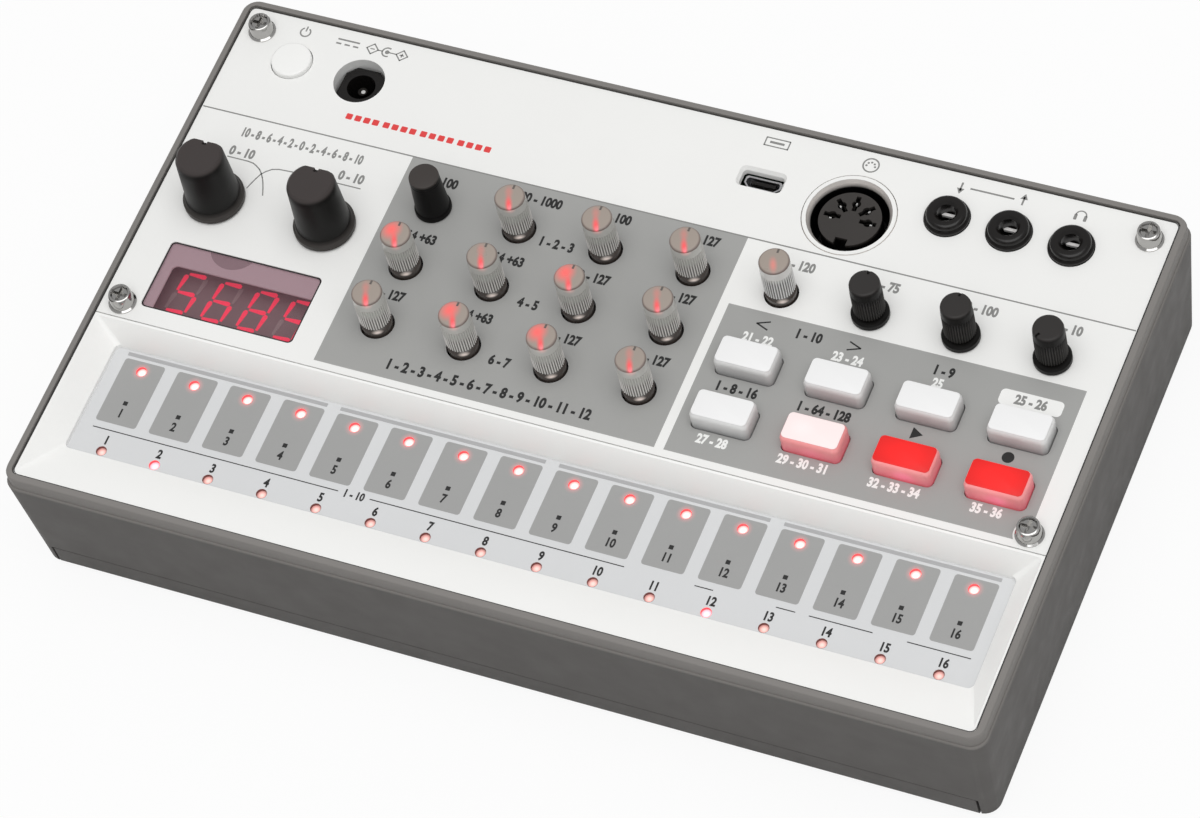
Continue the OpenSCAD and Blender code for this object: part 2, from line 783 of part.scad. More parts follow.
module board_chips() {
    chip_t = 1.4;
    coil_h = 3;
    cap_h = 7;
    cap_r = 3.15;
    cap_gap = 7;
    color(jet_black) {
        at_points([[column_mid[1], control_y[1]]]) block(14, 14, chip_t, board_under - chip_t);
        at_points([[control_x[3], control_y[1]]]) block(8, 6, chip_t, board_under - chip_t);
        at_points([[control_x[4], control_y[1]]]) block(10, 7, chip_t, board_under - chip_t);
        at_points([[column_mid[5], control_y[0]]]) block(6, 5, chip_t, board_under - chip_t);
        at_points([[tone_x + tone_pitch / 2, tone_y]]) block(7, 7, coil_h, board_under - coil_h);
        at_points([for (x = [(power_x + dc_x) / 2, dc_x + cap_gap, jack_points[0][0] + cap_gap,
            jack_points[1][0] + cap_gap]) [x, dc_y]]) rod(cap_r, board_under - cap_h, board_under);
    }
}

module panel_lamps() {
    beside_pot = pot_d / 2 + 0.8;
    beside_key = key_stem_r + 2.4;
    color(lamp_red) {
        at_points(lit_points)
            translate([0, -beside_pot, 0]) block(lamp_w, lamp_d, lamp_h, board_top);
        at_points(key_points)
            translate([beside_key, 0, 0]) block(lamp_w, lamp_d, lamp_h, board_top);
    }
}

module ribbon_cable() {
    strip_w = 16;
    strip_t = 0.3;
    shell_d = 3;
    shell_h = 1;
    x = column_mid[4];
    front = seam_y - 7;
    back = seam_y + 3.4;
    low_z = board_top + shell_h;
    high_z = touch_board_under - shell_h;
    turn = back + shell_d / 2;
    translate([x - strip_w / 2, 0, 0]) {
        color(case_white) rotate([90, 0, 90]) linear_extrude(strip_w)
            polygon([[front, high_z - strip_t], [turn - strip_t, high_z - strip_t],
                [turn - strip_t, low_z], [turn, low_z], [turn, high_z], [front, high_z]]);
        color(jet_black) translate([-1, front, high_z]) cube([strip_w + 2, shell_d, shell_h]);
        color(jet_black) translate([-1, back, board_top]) cube([strip_w + 2, shell_d, shell_h]);
    }
}

module key_mat() {
    x_low = control_x[4] - 6.6;
    x_high = control_x[7] + 5.4;
    y_low = key_rows[1] - 4;
    y_high = key_rows[0] + 5;
    color(trim_grey) difference() {
        translate([x_low, y_low, board_top]) cube([x_high - x_low, y_high - y_low, mat_t]);
        at_points(key_points) {
            rod(key_stem_r + 0.3, board_top - 1, board_top + mat_t + 1);
            translate([key_stem_r + 2.4, 0, 0]) block(lamp_w + 0.6, lamp_d + 0.6, 2 * mat_t, board_top - 0.5);
        }
    }
}

module power_switch() {
    body_h = 5;
    color(jet_black) difference() {
        translate([power_x, power_y, 0]) block(switch_w, switch_w, body_h, board_top);
        translate([power_x, power_y, 0]) rod(1.8, board_top + 1, board_top + body_h + 1);
    }
}

module pot_body(w, d, h, bore_r, bore_deep) {
    hub_h = 0.5;
    difference() {
        union() {
            block(w, d, h - hub_h, board_top);
            rod(bore_r + 1.4, board_top, board_top + h);
        }
        rod(bore_r, board_top + h - bore_deep, board_top + h + 1);
    }
}

module small_pot_bodies() {
    color(jet_black) at_points(pot_points)
        pot_body(pot_w, pot_d, pot_h, journal_r + running_gap, journal_deep + seat_gap);
}

module encoder_body() {
    color(bright_steel) translate([control_x[0], control_y[0], 0])
        pot_body(pot_w + 1, pot_d, pot_h, journal_r + running_gap, journal_deep + seat_gap);
}

module tone_pot_bodies() {
    color(bright_steel) at_points(tone_points)
        pot_body(tone_pot_w, pot_d, tone_pot_h, tone_shaft_r + running_gap, journal_deep + seat_gap);
}

// ---------- sockets ----------

module dc_outline(half, chamfer) {
    polygon([[-half, -half], [half, -half], [half, half - chamfer], [half - chamfer, half],
        [chamfer - half, half], [-half, half - chamfer]]);
}

module dc_socket() {
    body_top = panel_z - dc_collar_deep - seat_gap;
    nose_top = panel_z - dc_sunk;
    nose_half = 4.15;
    nose_r = dc_hole_d / 2 - 0.1;
    pin_r = 0.85;
    bore_floor = board_top + 1.2;
    color(jet_black) translate([dc_x, dc_y, 0]) {
        difference() {
            union() {
                translate([0, 0, board_top])
                    linear_extrude(body_top - board_top) dc_outline(dc_body_w / 2, 1.2);
                translate([0, 0, body_top - 0.5]) linear_extrude(nose_top - body_top + 0.5)
                    intersection() {
                        dc_outline(nose_half, 1.8);
                        circle(nose_r);
                    }
            }
            rod(dc_bore_d / 2, bore_floor, nose_top + 1);
        }
        rod(pin_r, bore_floor - 0.5, nose_top - 1.5);
    }
}

module usb_outline(w, d) {
    cut = d * 0.42;
    corner = 0.35;
    polygon([[corner - w / 2, d / 2], [-w / 2, d / 2 - corner], [-w / 2, cut - d / 2],
        [cut - w / 2, -d / 2], [w / 2 - cut, -d / 2], [w / 2, cut - d / 2],
        [w / 2, d / 2 - corner], [w / 2 - corner, d / 2]]);
}

module usb_socket() {
    shell = 0.35;
    top = panel_z - usb_sunk;
    color(bright_steel) translate([usb_x, usb_y, 0]) {
        difference() {
            translate([0, 0, board_top]) linear_extrude(top - board_top) usb_outline(usb_w, usb_d);
            translate([0, 0, top - 5]) linear_extrude(6)
                usb_outline(usb_w - 2 * shell, usb_d - 2 * shell);
        }
        translate([0, 0.35, 0]) block(usb_w - 2.6, 0.6, 4.6, top - 5.3);
    }
}

module midi_shell() {
    flange_r = din_d / 2;
    flange_t = 1.4;
    mouth_r = din_wall_r + 0.65;
    wall = 0.6;
    rim_z = panel_z - 0.05;
    color(bright_steel) translate([din_x, din_y, 0]) rotate_extrude()
        polygon([[din_wall_r, board_top], [din_wall_r + wall, board_top],
            [din_wall_r + wall, rim_z - flange_t], [flange_r, rim_z - flange_t],
            [flange_r, rim_z - 0.2], [flange_r - 0.2, rim_z], [mouth_r, rim_z],
            [din_wall_r, panel_z - din_sunk]]);
}

module midi_insert() {
    core_r = din_core_d / 2;
    core_top = panel_z - din_sunk - 0.15;
    slot_deep = 4;
    slot_w = 0.9;
    slot_l = 3.3;
    groove_floor = board_top + 2;
    notch_w = 2.4;
    notch_d = 1.5;
    color(jet_black) translate([din_x, din_y, 0]) difference() {
        union() {
            rod(din_wall_r - 0.05, board_top, groove_floor);
            rod(core_r, board_top, core_top);
        }
        for (a = din_points_deg)
            rotate([0, 0, a]) translate([din_pin_r, 0, 0]) {
                rod(0.85, core_top - slot_deep, core_top + 1);
                block(slot_l, slot_w, slot_deep + 1, core_top - slot_deep);
            }
        translate([0, -core_r, 0]) block(notch_w, 2 * notch_d, slot_deep + 1, core_top - slot_deep);
    }
}

// Profile of a jack collar: a low step at the panel and a narrower step with a domed edge
module jack_collar() {
    foot = jack_body_top - 0.5;
    base_h = 0.7;
    base_r = jack_collar_d / 2;
    step_r = jack_neck_d / 2;
    rotate_extrude()
        polygon([[0, foot], [base_r, foot], [base_r, panel_z + base_h - 0.15],
            [base_r - 0.15, panel_z + base_h], [step_r + 0.1, panel_z + base_h],
            [step_r, panel_z + base_h + 0.12], [step_r, panel_z + jack_rise - 0.7],
            [step_r - 0.12, panel_z + jack_rise - 0.35], [step_r - 0.35, panel_z + jack_rise - 0.1],
            [step_r - 0.7, panel_z + jack_rise], [0, panel_z + jack_rise]]);
}

module jack_socket(index) {
    top = panel_z + jack_rise;
    bore_r = jack_bore_d / 2;
    chamber_r = bore_r + 0.9;
    chamber_top = top - 6.8;
    lead = 0.5;
    color(jet_black) at_points([jack_points[index]]) difference() {
        union() {
            block(jack_w, jack_d, jack_body_top - board_top, board_top);
            jack_collar();
        }
        rod(bore_r, board_top + 2, top + 1);
        rod(chamber_r, board_top + 2, chamber_top);
        translate([0, 0, top - lead]) cylinder(h = lead + slice, r1 = bore_r, r2 = bore_r + lead);
    }
}

module sync_in_socket() {
    jack_socket(0);
}

module sync_out_socket() {
    jack_socket(1);
}

module phones_socket() {
    jack_socket(2);
}

// ---------- fasteners ----------

module panel_screw() {
    foot_r = screw_head_d / 2;
    top_r = foot_r - 0.15;
    cup_r = top_r - 0.5;
    top = panel_z + screw_head_h;
    cross = 0.75;
    difference() {
        rotate_extrude()
            polygon([[0, panel_z - screw_deep], [screw_r, panel_z - screw_deep], [screw_r, panel_z],
                [foot_r + 0.35, panel_z], [foot_r + 0.35, panel_z + 0.25], [foot_r, panel_z + 0.5],
                [foot_r - 0.08, panel_z + 1.7], [top_r, top - 0.5], [top_r - 0.15, top - 0.1],
                [top_r - 0.35, top], [cup_r, top], [cup_r - 0.25, top - 0.45], [0, top - 0.45]]);
        block(2 * cup_r - 0.6, cross, 2, top - 1.6);
        block(cross, 2 * cup_r - 0.6, 2, top - 1.6);
    }
}

module panel_screws() {
    color(bright_steel) at_points(screw_points) panel_screw();
}

module case_screws() {
    head_top = bay_floor_top + 0.6;
    head_h = 1.8;
    color(bright_steel) at_points(bezel_post_points) difference() {
        union() {
            rod(screw_head_d / 2, head_top - head_h, head_top);
            rod(screw_r, head_top - 0.5, bezel_post_z + 3);
        }
        block(2.8, 0.7, 1, head_top - head_h - 0.1);
        block(0.7, 2.8, 1, head_top - head_h - 0.1);
    }
}

module board_screw(seat_z) {
    difference() {
        union() {
            rod(board_head_r, seat_z - board_head_h, seat_z);
            rod(board_screw_r, seat_z - 0.5, seat_z + board_screw_deep);
        }
        block(2, 0.5, 0.8, seat_z - board_head_h - 0.1);
        block(0.5, 2, 0.8, seat_z - board_head_h - 0.1);
    }
}

module board_screws() {
    color(bright_steel) {
        at_points(board_post_points) board_screw(board_under);
        at_points(touch_post_points) intersection() {
            board_screw(touch_board_under);
            rod(board_head_r + 1, 0, sheet_under + touch_pilot_deep - 0.3);
        }
    }
}

// ---------- batteries ----------

module cell_row(y, turn) {
    translate([0, y, cell_z]) rotate([0, 0, turn])
        for (i = [0:2])
            translate([-bay_in_w / 2 + contact_t + spring_l + i * cell_step, 0, 0]) rotate([0, 90, 0]) {
                cylinder(h = cell_l, r = cell_d / 2);
                cylinder(h = cell_l + cell_nub_l, r = 2.75);
            }
}

module aa_cells() {
    color([0.75, 0.62, 0.3]) {
        cell_row(bay_mid - cell_row_pitch / 2, 0);
        cell_row(bay_mid + cell_row_pitch / 2, 180);
    }
}

module battery_contacts() {
    plate_h = 11;
    plate_w = 12;
    z_low = cell_z - plate_h / 2;
    color(bright_steel) {
        for (sy = [-1, 1])
            translate([-bay_in_w / 2, bay_mid + sy * cell_row_pitch / 2 - plate_w / 2, z_low])
                cube([contact_t, plate_w, plate_h]);
        translate([bay_in_w / 2 - contact_t, bay_mid - cell_row_pitch / 2 - plate_w / 2, z_low])
            cube([contact_t, plate_w + cell_row_pitch, plate_h]);
    }
}

spring_turns = 3.5;
spring_steps = 42;
spring_wire_r = 0.4;
spring_sides = 8;
spring_base_r = 5.4;
spring_tip_r = 3.4;

function spring_point(t) = let (a = 360 * spring_turns * t, r = spring_base_r + (spring_tip_r - spring_base_r) * t)
    [r * cos(a), r * sin(a), spring_wire_r + 0.05 + (spring_l - 2 * spring_wire_r - 0.1) * t];

function spring_ring(t) = let (a = 360 * spring_turns * t, p = spring_point(t))
    [for (k = [0:spring_sides - 1]) let (b = 360 * k / spring_sides)
        p + spring_wire_r * [cos(b) * cos(a), cos(b) * sin(a), sin(b)]];

module contact_spring() {
    points = [for (i = [0:spring_steps], p = spring_ring(i / spring_steps)) p];
    sides = [for (i = [0:spring_steps - 1], k = [0:spring_sides - 1])
        let (a = i * spring_sides + k, b = i * spring_sides + (k + 1) % spring_sides)
            [a, b, b + spring_sides, a + spring_sides]];
    start = [for (k = [spring_sides - 1:-1:0]) k];
    finish = [for (k = [0:spring_sides - 1]) spring_steps * spring_sides + k];
    polyhedron(points = points, faces = concat(sides, [start], [finish]), convexity = 10);
}

module battery_springs() {
    plate = bay_in_w / 2 - contact_t;
    color(bright_steel) {
        translate([-plate, bay_mid - cell_row_pitch / 2, cell_z]) rotate([0, 90, 0]) contact_spring();
        translate([plate, bay_mid + cell_row_pitch / 2, cell_z]) rotate([0, -90, 0]) contact_spring();
    }
}

// ---------- moving controls ----------

module ribbed_prism(r, depth, z_low, z_high) {
    points = [for (i = [0:2 * rib_count - 1]) let (a = 180 * i / rib_count, q = i % 2 == 0 ? r : r - depth)
        [q * cos(a), q * sin(a)]];
    translate([0, 0, z_low]) linear_extrude(z_high - z_low) polygon(points);
}

// Profile of a small shaft from its journal to its top, without its ribs
module shaft_core(low_r) {
    z_pot = pot_top - panel_z;
    translate([0, 0, panel_z]) rotate_extrude()
        polygon([[0, z_pot - journal_deep], [journal_r, z_pot - journal_deep],
            [journal_r, z_pot + seat_gap], [shaft_hole_d / 2 - 0.35, z_pot + seat_gap],
            [shaft_hole_d / 2 - 0.35, seat_gap], [low_r, seat_gap], [low_r, collar_top - 0.3],
            [low_r - 0.3, collar_top], [neck_r, collar_top + 0.1], [neck_r, rib_low + 0.3],
            [neck_r, rib_h], [rib_r - 0.02, rib_h + 0.3], [shaft_r, shaft_h - 0.5],
            [shaft_r - 0.12, shaft_h - 0.15], [shaft_r - 0.4, shaft_h], [0, shaft_h]]);
}

module small_shaft(column, row, low_r, turn) {
    translate([control_x[column], control_y[row], 0]) rotate([0, 0, turn]) difference() {
        union() {
            shaft_core(low_r);
            ribbed_prism(rib_r, rib_depth, panel_z + rib_low, panel_z + rib_h + 0.3);
        }
        translate([0, shaft_r, 0])
            block(pointer_w, 2 * pointer_l, 2 * pointer_deep, panel_z + shaft_h - pointer_deep);
    }
}

module lit_shaft(column, row) {
    color(clear_grey) small_shaft(column, row, shaft_hole_d / 2 - 0.3, 0);
}

module black_shaft(column, turn) {
    color(jet_black) small_shaft(column, 0, skirt_d / 2, turn);
}

module encoder_knob() {
    low_r = shaft_hole_d / 2 + 0.25;
    z_pot = pot_top - panel_z;
    top = shaft_h;
    skirt_h = 1.2;
    foot_r = low_r - 0.28;
    line_h = top - 1.3;
    color(jet_black) translate([control_x[0], control_y[0], panel_z]) rotate_extrude()
        polygon([[0, z_pot - journal_deep], [journal_r, z_pot - journal_deep],
            [journal_r, z_pot + seat_gap], [shaft_hole_d / 2 - 0.35, z_pot + seat_gap],
            [shaft_hole_d / 2 - 0.35, seat_gap], [low_r, seat_gap], [low_r, skirt_h - 0.3],
            [low_r - 0.1, skirt_h], [foot_r + 0.1, skirt_h], [foot_r, skirt_h + 0.15],
            [shaft_r, line_h - 0.12], [shaft_r - 0.1, line_h],
            [shaft_r, line_h + 0.12], [shaft_r, top - 0.35], [shaft_r - 0.1, top - 0.1],
            [shaft_r - 0.35, top], [0, top]]);
}

module start_knob() {
    lit_shaft(1, 0);
}

module length_knob() {
    lit_shaft(2, 0);
}

module cutoff_knob() {
    lit_shaft(3, 0);
}

module speed_knob() {
    lit_shaft(0, 1);
}

module pitch_knob() {
    lit_shaft(1, 1);
}

module pitch_attack_knob() {
    lit_shaft(2, 1);
}

module pitch_decay_knob() {
    lit_shaft(3, 1);
}

module level_knob() {
    lit_shaft(0, 2);
}

module pan_knob() {
    lit_shaft(1, 2);
}

module amp_attack_knob() {
    lit_shaft(2, 2);
}

module amp_decay_knob() {
    lit_shaft(3, 2);
}

module tempo_knob() {
    lit_shaft(4, 0);
}

module swing_knob() {
    black_shaft(5, 0);
}

module reverb_knob() {
    black_shaft(6, 0);
}

module volume_knob() {
    black_shaft(7, 148);
}

module tone_knob(index) {
    low_r = tone_low_d / 2;
    top_r = tone_top_d / 2;
    flange_r = tone_flange_d / 2;
    z_pot = board_top + tone_pot_h - panel_z;
    flat_lean = 4;
    color(jet_black) translate([tone_points[index][0], tone_points[index][1], panel_z]) difference() {
        rotate_extrude()
            polygon([[0, z_pot - journal_deep], [tone_shaft_r, z_pot - journal_deep],
                [tone_shaft_r, seat_gap], [flange_r - 0.2, seat_gap], [flange_r, seat_gap + 0.2],
                [flange_r, tone_flange_t - 0.5], [flange_r - 0.4, tone_flange_t - 0.1],
                [low_r + 0.35, tone_flange_t + 0.1], [low_r, tone_flange_t + 0.5],
                [top_r + 0.15, tone_h - 1], [top_r, tone_h - 0.5], [top_r - 0.5, tone_h], [0, tone_h]]);
        translate([0, top_r - tone_flat, tone_h + 1]) rotate([flat_lean, 0, 0])
            translate([-top_r - 1, 0, -tone_h + tone_flange_t + 1]) cube([2 * top_r + 2, 4, tone_h]);
        translate([0, top_r - tone_flat, 0]) block(0.9, 1.6, 2, tone_h - 0.7);
    }
}

module low_tone_knob() {
    tone_knob(0);
}

module high_tone_knob() {
    tone_knob(1);
}

module power_button() {
    r = power_d / 2;
    rise = 0.3;
    dome = 0.25;
    flange_top = panel_t + seat_gap;
    stem_low = panel_z - board_top - 2.4;
    color(trim_grey) translate([power_x, power_y, panel_z]) rotate_extrude()
        polygon([[0, -stem_low], [1.7, -stem_low], [1.7, -flange_top - 1.2], [r + 0.8, -flange_top - 1.2],
            [r + 0.8, -flange_top], [r, -flange_top], [r, rise - 0.25], [r - 0.25, rise],
            [r * 0.6, rise + dome * 0.7], [r * 0.3, rise + dome * 0.95], [0, rise + dome]]);
}

module key(index) {
    flange_top = panel_under - seat_gap;
    color(trim_grey) at_points([key_points[index]]) {
        slab(key_w, key_d, panel_z + key_h - 1 - flange_top, key_corner_r, flange_top - slice);
        hull() {
            slab(key_w - 0.02, key_d - 0.02, slice, key_corner_r, panel_z + key_h - 1.2, $fn = hull_fn);
            slab(key_w - 0.02, key_d - 0.02, slice, key_corner_r, panel_z + key_h - 1, $fn = hull_fn);
            slab(key_w - 0.3, key_d - 0.3, slice, key_corner_r, panel_z + key_h - 0.4, $fn = hull_fn);
            slab(key_w - 1, key_d - 1, slice, key_corner_r, panel_z + key_h - slice, $fn = hull_fn);
        }
        slab(key_w + 2 * key_flange, key_d + 2 * key_flange, key_flange_t, key_corner_r,
            flange_top - key_flange_t);
        rod(key_stem_r, board_top + key_travel + 0.3, flange_top);
    }
}

module reverse_key() {
    key(0);
}

module effect_key() {
    key(1);
}

module solo_key() {
    key(2);
}

module shift_key() {
    key(3);
}

module memory_key() {
    key(4);
}

module step_key() {
    key(5);
}

module play_key() {
    key(6);
}

module record_key() {
    key(7);
}

case_bottom();
battery_cover();
cover_feet();
case_feet();
front_panel();
touch_bezel();
touch_sheet();
touch_board();
step_lamps();
display_window();
display_module();
main_board();
board_chips();
panel_lamps();
ribbon_cable();
key_mat();
small_pot_bodies();
encoder_body();
tone_pot_bodies();
power_switch();
dc_socket();
usb_socket();
midi_shell();
midi_insert();
sync_in_socket();
sync_out_socket();
phones_socket();
panel_screws();
case_screws();
board_screws();
aa_cells();
battery_contacts();
battery_springs();
encoder_knob();
start_knob();
length_knob();
cutoff_knob();
speed_knob();
pitch_knob();
pitch_attack_knob();
pitch_decay_knob();
level_knob();
pan_knob();
amp_attack_knob();
amp_decay_knob();
tempo_knob();
swing_knob();
reverb_knob();
volume_knob();
low_tone_knob();
high_tone_knob();
power_button();
reverse_key();
effect_key();
solo_key();
shift_key();
memory_key();
step_key();
play_key();
record_key();
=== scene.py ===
"""Looks of a table-top drum machine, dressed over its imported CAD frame.

Places are in the CAD's frame: the origin is on the table under the middle of the panel, +X is right,
+Y is away from the player and +Z is up. Lengths are in millimetres unless a docstring says otherwise,
angles in degrees, and colours are as a screen shows them, with red, green and blue from 0 to 255.
"""

import json
import logging
import math
from collections.abc import Iterable, Iterator
from contextlib import contextmanager
from dataclasses import dataclass, field
from enum import Enum

import bmesh
import bpy
from bmesh.types import BMEdge, BMesh, BMVert
from bpy.types import NodeSocket as Socket
from mathutils import Euler, Matrix, Vector

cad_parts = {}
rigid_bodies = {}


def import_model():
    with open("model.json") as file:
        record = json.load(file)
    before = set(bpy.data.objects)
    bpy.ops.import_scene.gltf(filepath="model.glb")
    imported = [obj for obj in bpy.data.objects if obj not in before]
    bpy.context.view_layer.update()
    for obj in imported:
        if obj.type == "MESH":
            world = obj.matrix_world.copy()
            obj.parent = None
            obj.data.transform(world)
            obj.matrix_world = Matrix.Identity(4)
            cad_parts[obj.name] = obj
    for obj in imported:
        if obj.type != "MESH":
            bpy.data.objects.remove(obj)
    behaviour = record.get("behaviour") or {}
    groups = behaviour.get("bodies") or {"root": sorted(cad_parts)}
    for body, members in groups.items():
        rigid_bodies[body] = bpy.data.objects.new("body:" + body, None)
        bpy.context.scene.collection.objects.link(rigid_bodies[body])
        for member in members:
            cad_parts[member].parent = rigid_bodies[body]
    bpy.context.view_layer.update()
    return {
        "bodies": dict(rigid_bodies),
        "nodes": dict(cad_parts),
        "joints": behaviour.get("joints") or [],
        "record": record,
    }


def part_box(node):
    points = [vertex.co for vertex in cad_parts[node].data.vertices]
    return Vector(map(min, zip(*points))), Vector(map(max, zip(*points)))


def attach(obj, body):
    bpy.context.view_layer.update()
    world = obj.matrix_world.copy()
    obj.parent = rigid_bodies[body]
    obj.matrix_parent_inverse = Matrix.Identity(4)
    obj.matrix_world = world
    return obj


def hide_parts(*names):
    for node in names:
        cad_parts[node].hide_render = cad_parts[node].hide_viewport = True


log = logging.getLogger("drum_machine")

MM = 0.001  # a millimetre in metres
PANEL_Z = 31.5  # height of the panel's face
SHEET_Z = 26.0  # height of the touch sheet's face
PRINT_T = 0.02  # how far a print stands over its surface
COLUMNS = tuple(-41.15 + 17.58 * i for i in range(8))  # places of the controls and keys
ROWS = (21.1, 7.55, -6.0)  # rows of the rotary controls
KEY_ROWS = (4.6, -7.5)
PADS = 16
DIN_ANGLES = (0, 45, 90, 135, 180)  # the five contacts of the DIN socket
CREASE = 32.0  # angle from which an edge stays sharp
FAR = 400.0  # a distance that reaches past the whole machine
WELD = 0.002  # distance within which doubled vertices are joined
NEAR = 1e-7  # distance in metres within which two places are the same
ON_CUT = 1e-8  # distance in metres within which a vertex lies on a cutting plane
FULL_TURN = 360.0
RING_STEPS = 48  # faces round a whole ring
CORNER_STEPS = 4  # straight parts of a round corner
FIGURE_SHARE = 0.7  # height of a figure as a share of the font's size
NOISE_SPAN = (0.3, 0.7)  # where nearly all values of a noise lie
GLOSS_NOISE = (6.0, 3.0)  # size and detail of the noise in the roughness
COLOUR_NOISE = (22.0, 4.0)  # and of the noise in the colour
RELIEF_DETAIL = 2.0
GLOSS_SWING = 0.12  # share by which the roughness wanders
COAT_ROUGHNESS = 0.12
FACE_UP = 0.9  # upward share of the normal from which a face is an upper one
WHITE = (1.0, 1.0, 1.0, 1.0)
BLACK = (0.0, 0.0, 0.0, 1.0)

Colour = tuple[float, float, float]
Place = tuple[float, float, float]
Point = tuple[float, float]
Sides = tuple[float, float, float, float]


def linear(colour: Colour) -> tuple[float, float, float, float]:
    """Turn a screen colour into the one that a shader takes, by the sRGB curve.

    Args:
        colour: red, green and blue from 0 to 255.

    Returns:
        Linear red, green, blue and alpha from 0 to 1.
    """
    shares = [value / 255 for value in colour]
    return (*(s / 12.92 if s <= 0.04045 else ((s + 0.055) / 1.055) ** 2.4 for s in shares), 1.0)


class Nodes:
    """Short ways to add and join the shader nodes of one material or world."""

    def __init__(self, holder: bpy.types.Material | bpy.types.World) -> None:
        """Start from the holder's own shader.

        Args:
            holder: a new material or world, which is switched to nodes.
        """
        holder.use_nodes = True
        self.tree = holder.node_tree
        own = "Principled BSDF" if isinstance(holder, bpy.types.Material) else "Background"
        self.shader = self.tree.nodes[own]

    def add(self, kind: str) -> bpy.types.Node:
        """Add a node of a kind and return it."""
        return self.tree.nodes.new(kind)

    def feed(self, socket: Socket, value: object) -> None:
        """Link a socket to the value's output, or set the value on it."""
        if isinstance(value, Socket):
            self.tree.links.new(value, socket)
        else:
            socket.default_value = value

    def math(self, operation: str, *values: object) -> Socket:
        """Add a Math node on numbers or outputs and return its output."""
        node = self.add("ShaderNodeMath")
        node.operation = operation
        for socket, value in zip(node.inputs, values):
            self.feed(socket, value)
        return node.outputs[0]

    def square(self, value: Socket) -> Socket:
        """Return the square of an output."""
        return self.math("MULTIPLY", value, value)

    def away(self, value: Socket, middle: float, step: float) -> Socket:
        """Return how far a value lies from a middle, or from its nearest copy where there is a step."""
        away = self.math("SUBTRACT", value, middle * MM)
        return self.math("WRAP", away, -step * MM / 2, step * MM / 2) if step else away

    def remap(self, value: object, source: Point, target: Point, smooth: bool = False) -> Socket:
        """Add a Map Range node.

        Args:
            value: the output to map.
            source: its lowest and highest value.
            target: what those become.
            smooth: whether the ends ease in and out.

        Returns:
            The mapped output.
        """
        node = self.add("ShaderNodeMapRange")
        node.interpolation_type = "SMOOTHSTEP" if smooth else "LINEAR"
        for name, number in zip(("From Min", "From Max", "To Min", "To Max"), source + target):
            node.inputs[name].default_value = number
        self.feed(node.inputs["Value"], value)
        return node.outputs["Result"]

    def noise(self, size: float, detail: float) -> Socket:
        """Add a noise whose grain is about size millimetres and return its value."""
        node = self.add("ShaderNodeTexNoise")
        self.feed(node.inputs["Vector"], self.add("ShaderNodeTexCoord").outputs["Object"])
        node.inputs["Scale"].default_value = 1 / (size * MM)
        node.inputs["Detail"].default_value = detail
        return node.outputs[0]

    def blend(self, share: object, first: object, second: object, how: str = "MIX") -> Socket:
        """Join two colours by share, from the first at 0 to the second at 1, and return the result."""
        node = self.add("ShaderNodeMix")
        node.data_type, node.blend_type = "RGBA", how
        for index, value in ((0, share), (6, first), (7, second)):
            self.feed(node.inputs[index], value)
        return node.outputs[2]

    def either(self, share: object, first: bpy.types.Node, second: bpy.types.Node) -> Socket:
        """Mix two shaders by share, from the first at 0 to the second at 1, and return the mix."""
        node = self.add("ShaderNodeMixShader")
        for socket, value in zip(node.inputs, (share, first.outputs[0], second.outputs[0])):
            self.feed(socket, value)
        return node.outputs[0]

    def axes(self) -> list[Socket]:
        """Return the place in the object as its X, Y and Z outputs."""
        node = self.add("ShaderNodeSeparateXYZ")
        self.feed(node.inputs[0], self.add("ShaderNodeTexCoord").outputs["Object"])
        return list(node.outputs)


@dataclass(frozen=True)
class Glow:
    """A soft patch of light that a surface gives off round a point, or round a grid of points.

    Attributes:
        colour: screen colour of the light.
        strength: brightness in the middle.
        centre: middle of the patch.
        reach: half sizes of the patch along X, Y and Z.
        pitch: spacing of its copies along X and Y, with 0 for none.
        turn: angle in degrees by which the patch is turned about Z.
        painted_share: share by which the patch of light is also painted into the surface's own colour.
    """

    colour: Colour
    strength: float
    centre: Place
    reach: Place
    pitch: Point = (0.0, 0.0)
    turn: float = 0.0
    painted_share: float = 0.0

    def share(self, nodes: Nodes) -> Socket:
        """Return how strongly the patch shows at each point, from 0 to 1."""
        x, y, z = (nodes.away(*axis) for axis in zip(nodes.axes(), self.centre, (*self.pitch, 0.0)))
        if self.turn:
            cos, sin = math.cos(math.radians(self.turn)), math.sin(math.radians(self.turn))
            x, y = (nodes.math("ADD", nodes.math("MULTIPLY", x, cos), nodes.math("MULTIPLY", y, sin)),
                    nodes.math("SUBTRACT", nodes.math("MULTIPLY", y, cos), nodes.math("MULTIPLY", x, sin)))
        squares = [nodes.square(nodes.math("DIVIDE", away, reach * MM))
                   for away, reach in zip((x, y, z), self.reach)]
        total = nodes.math("ADD", nodes.math("ADD", squares[0], squares[1]), squares[2])
        return nodes.remap(nodes.math("SQRT", total), (0.0, 1.0), (1.0, 0.0), smooth=True)


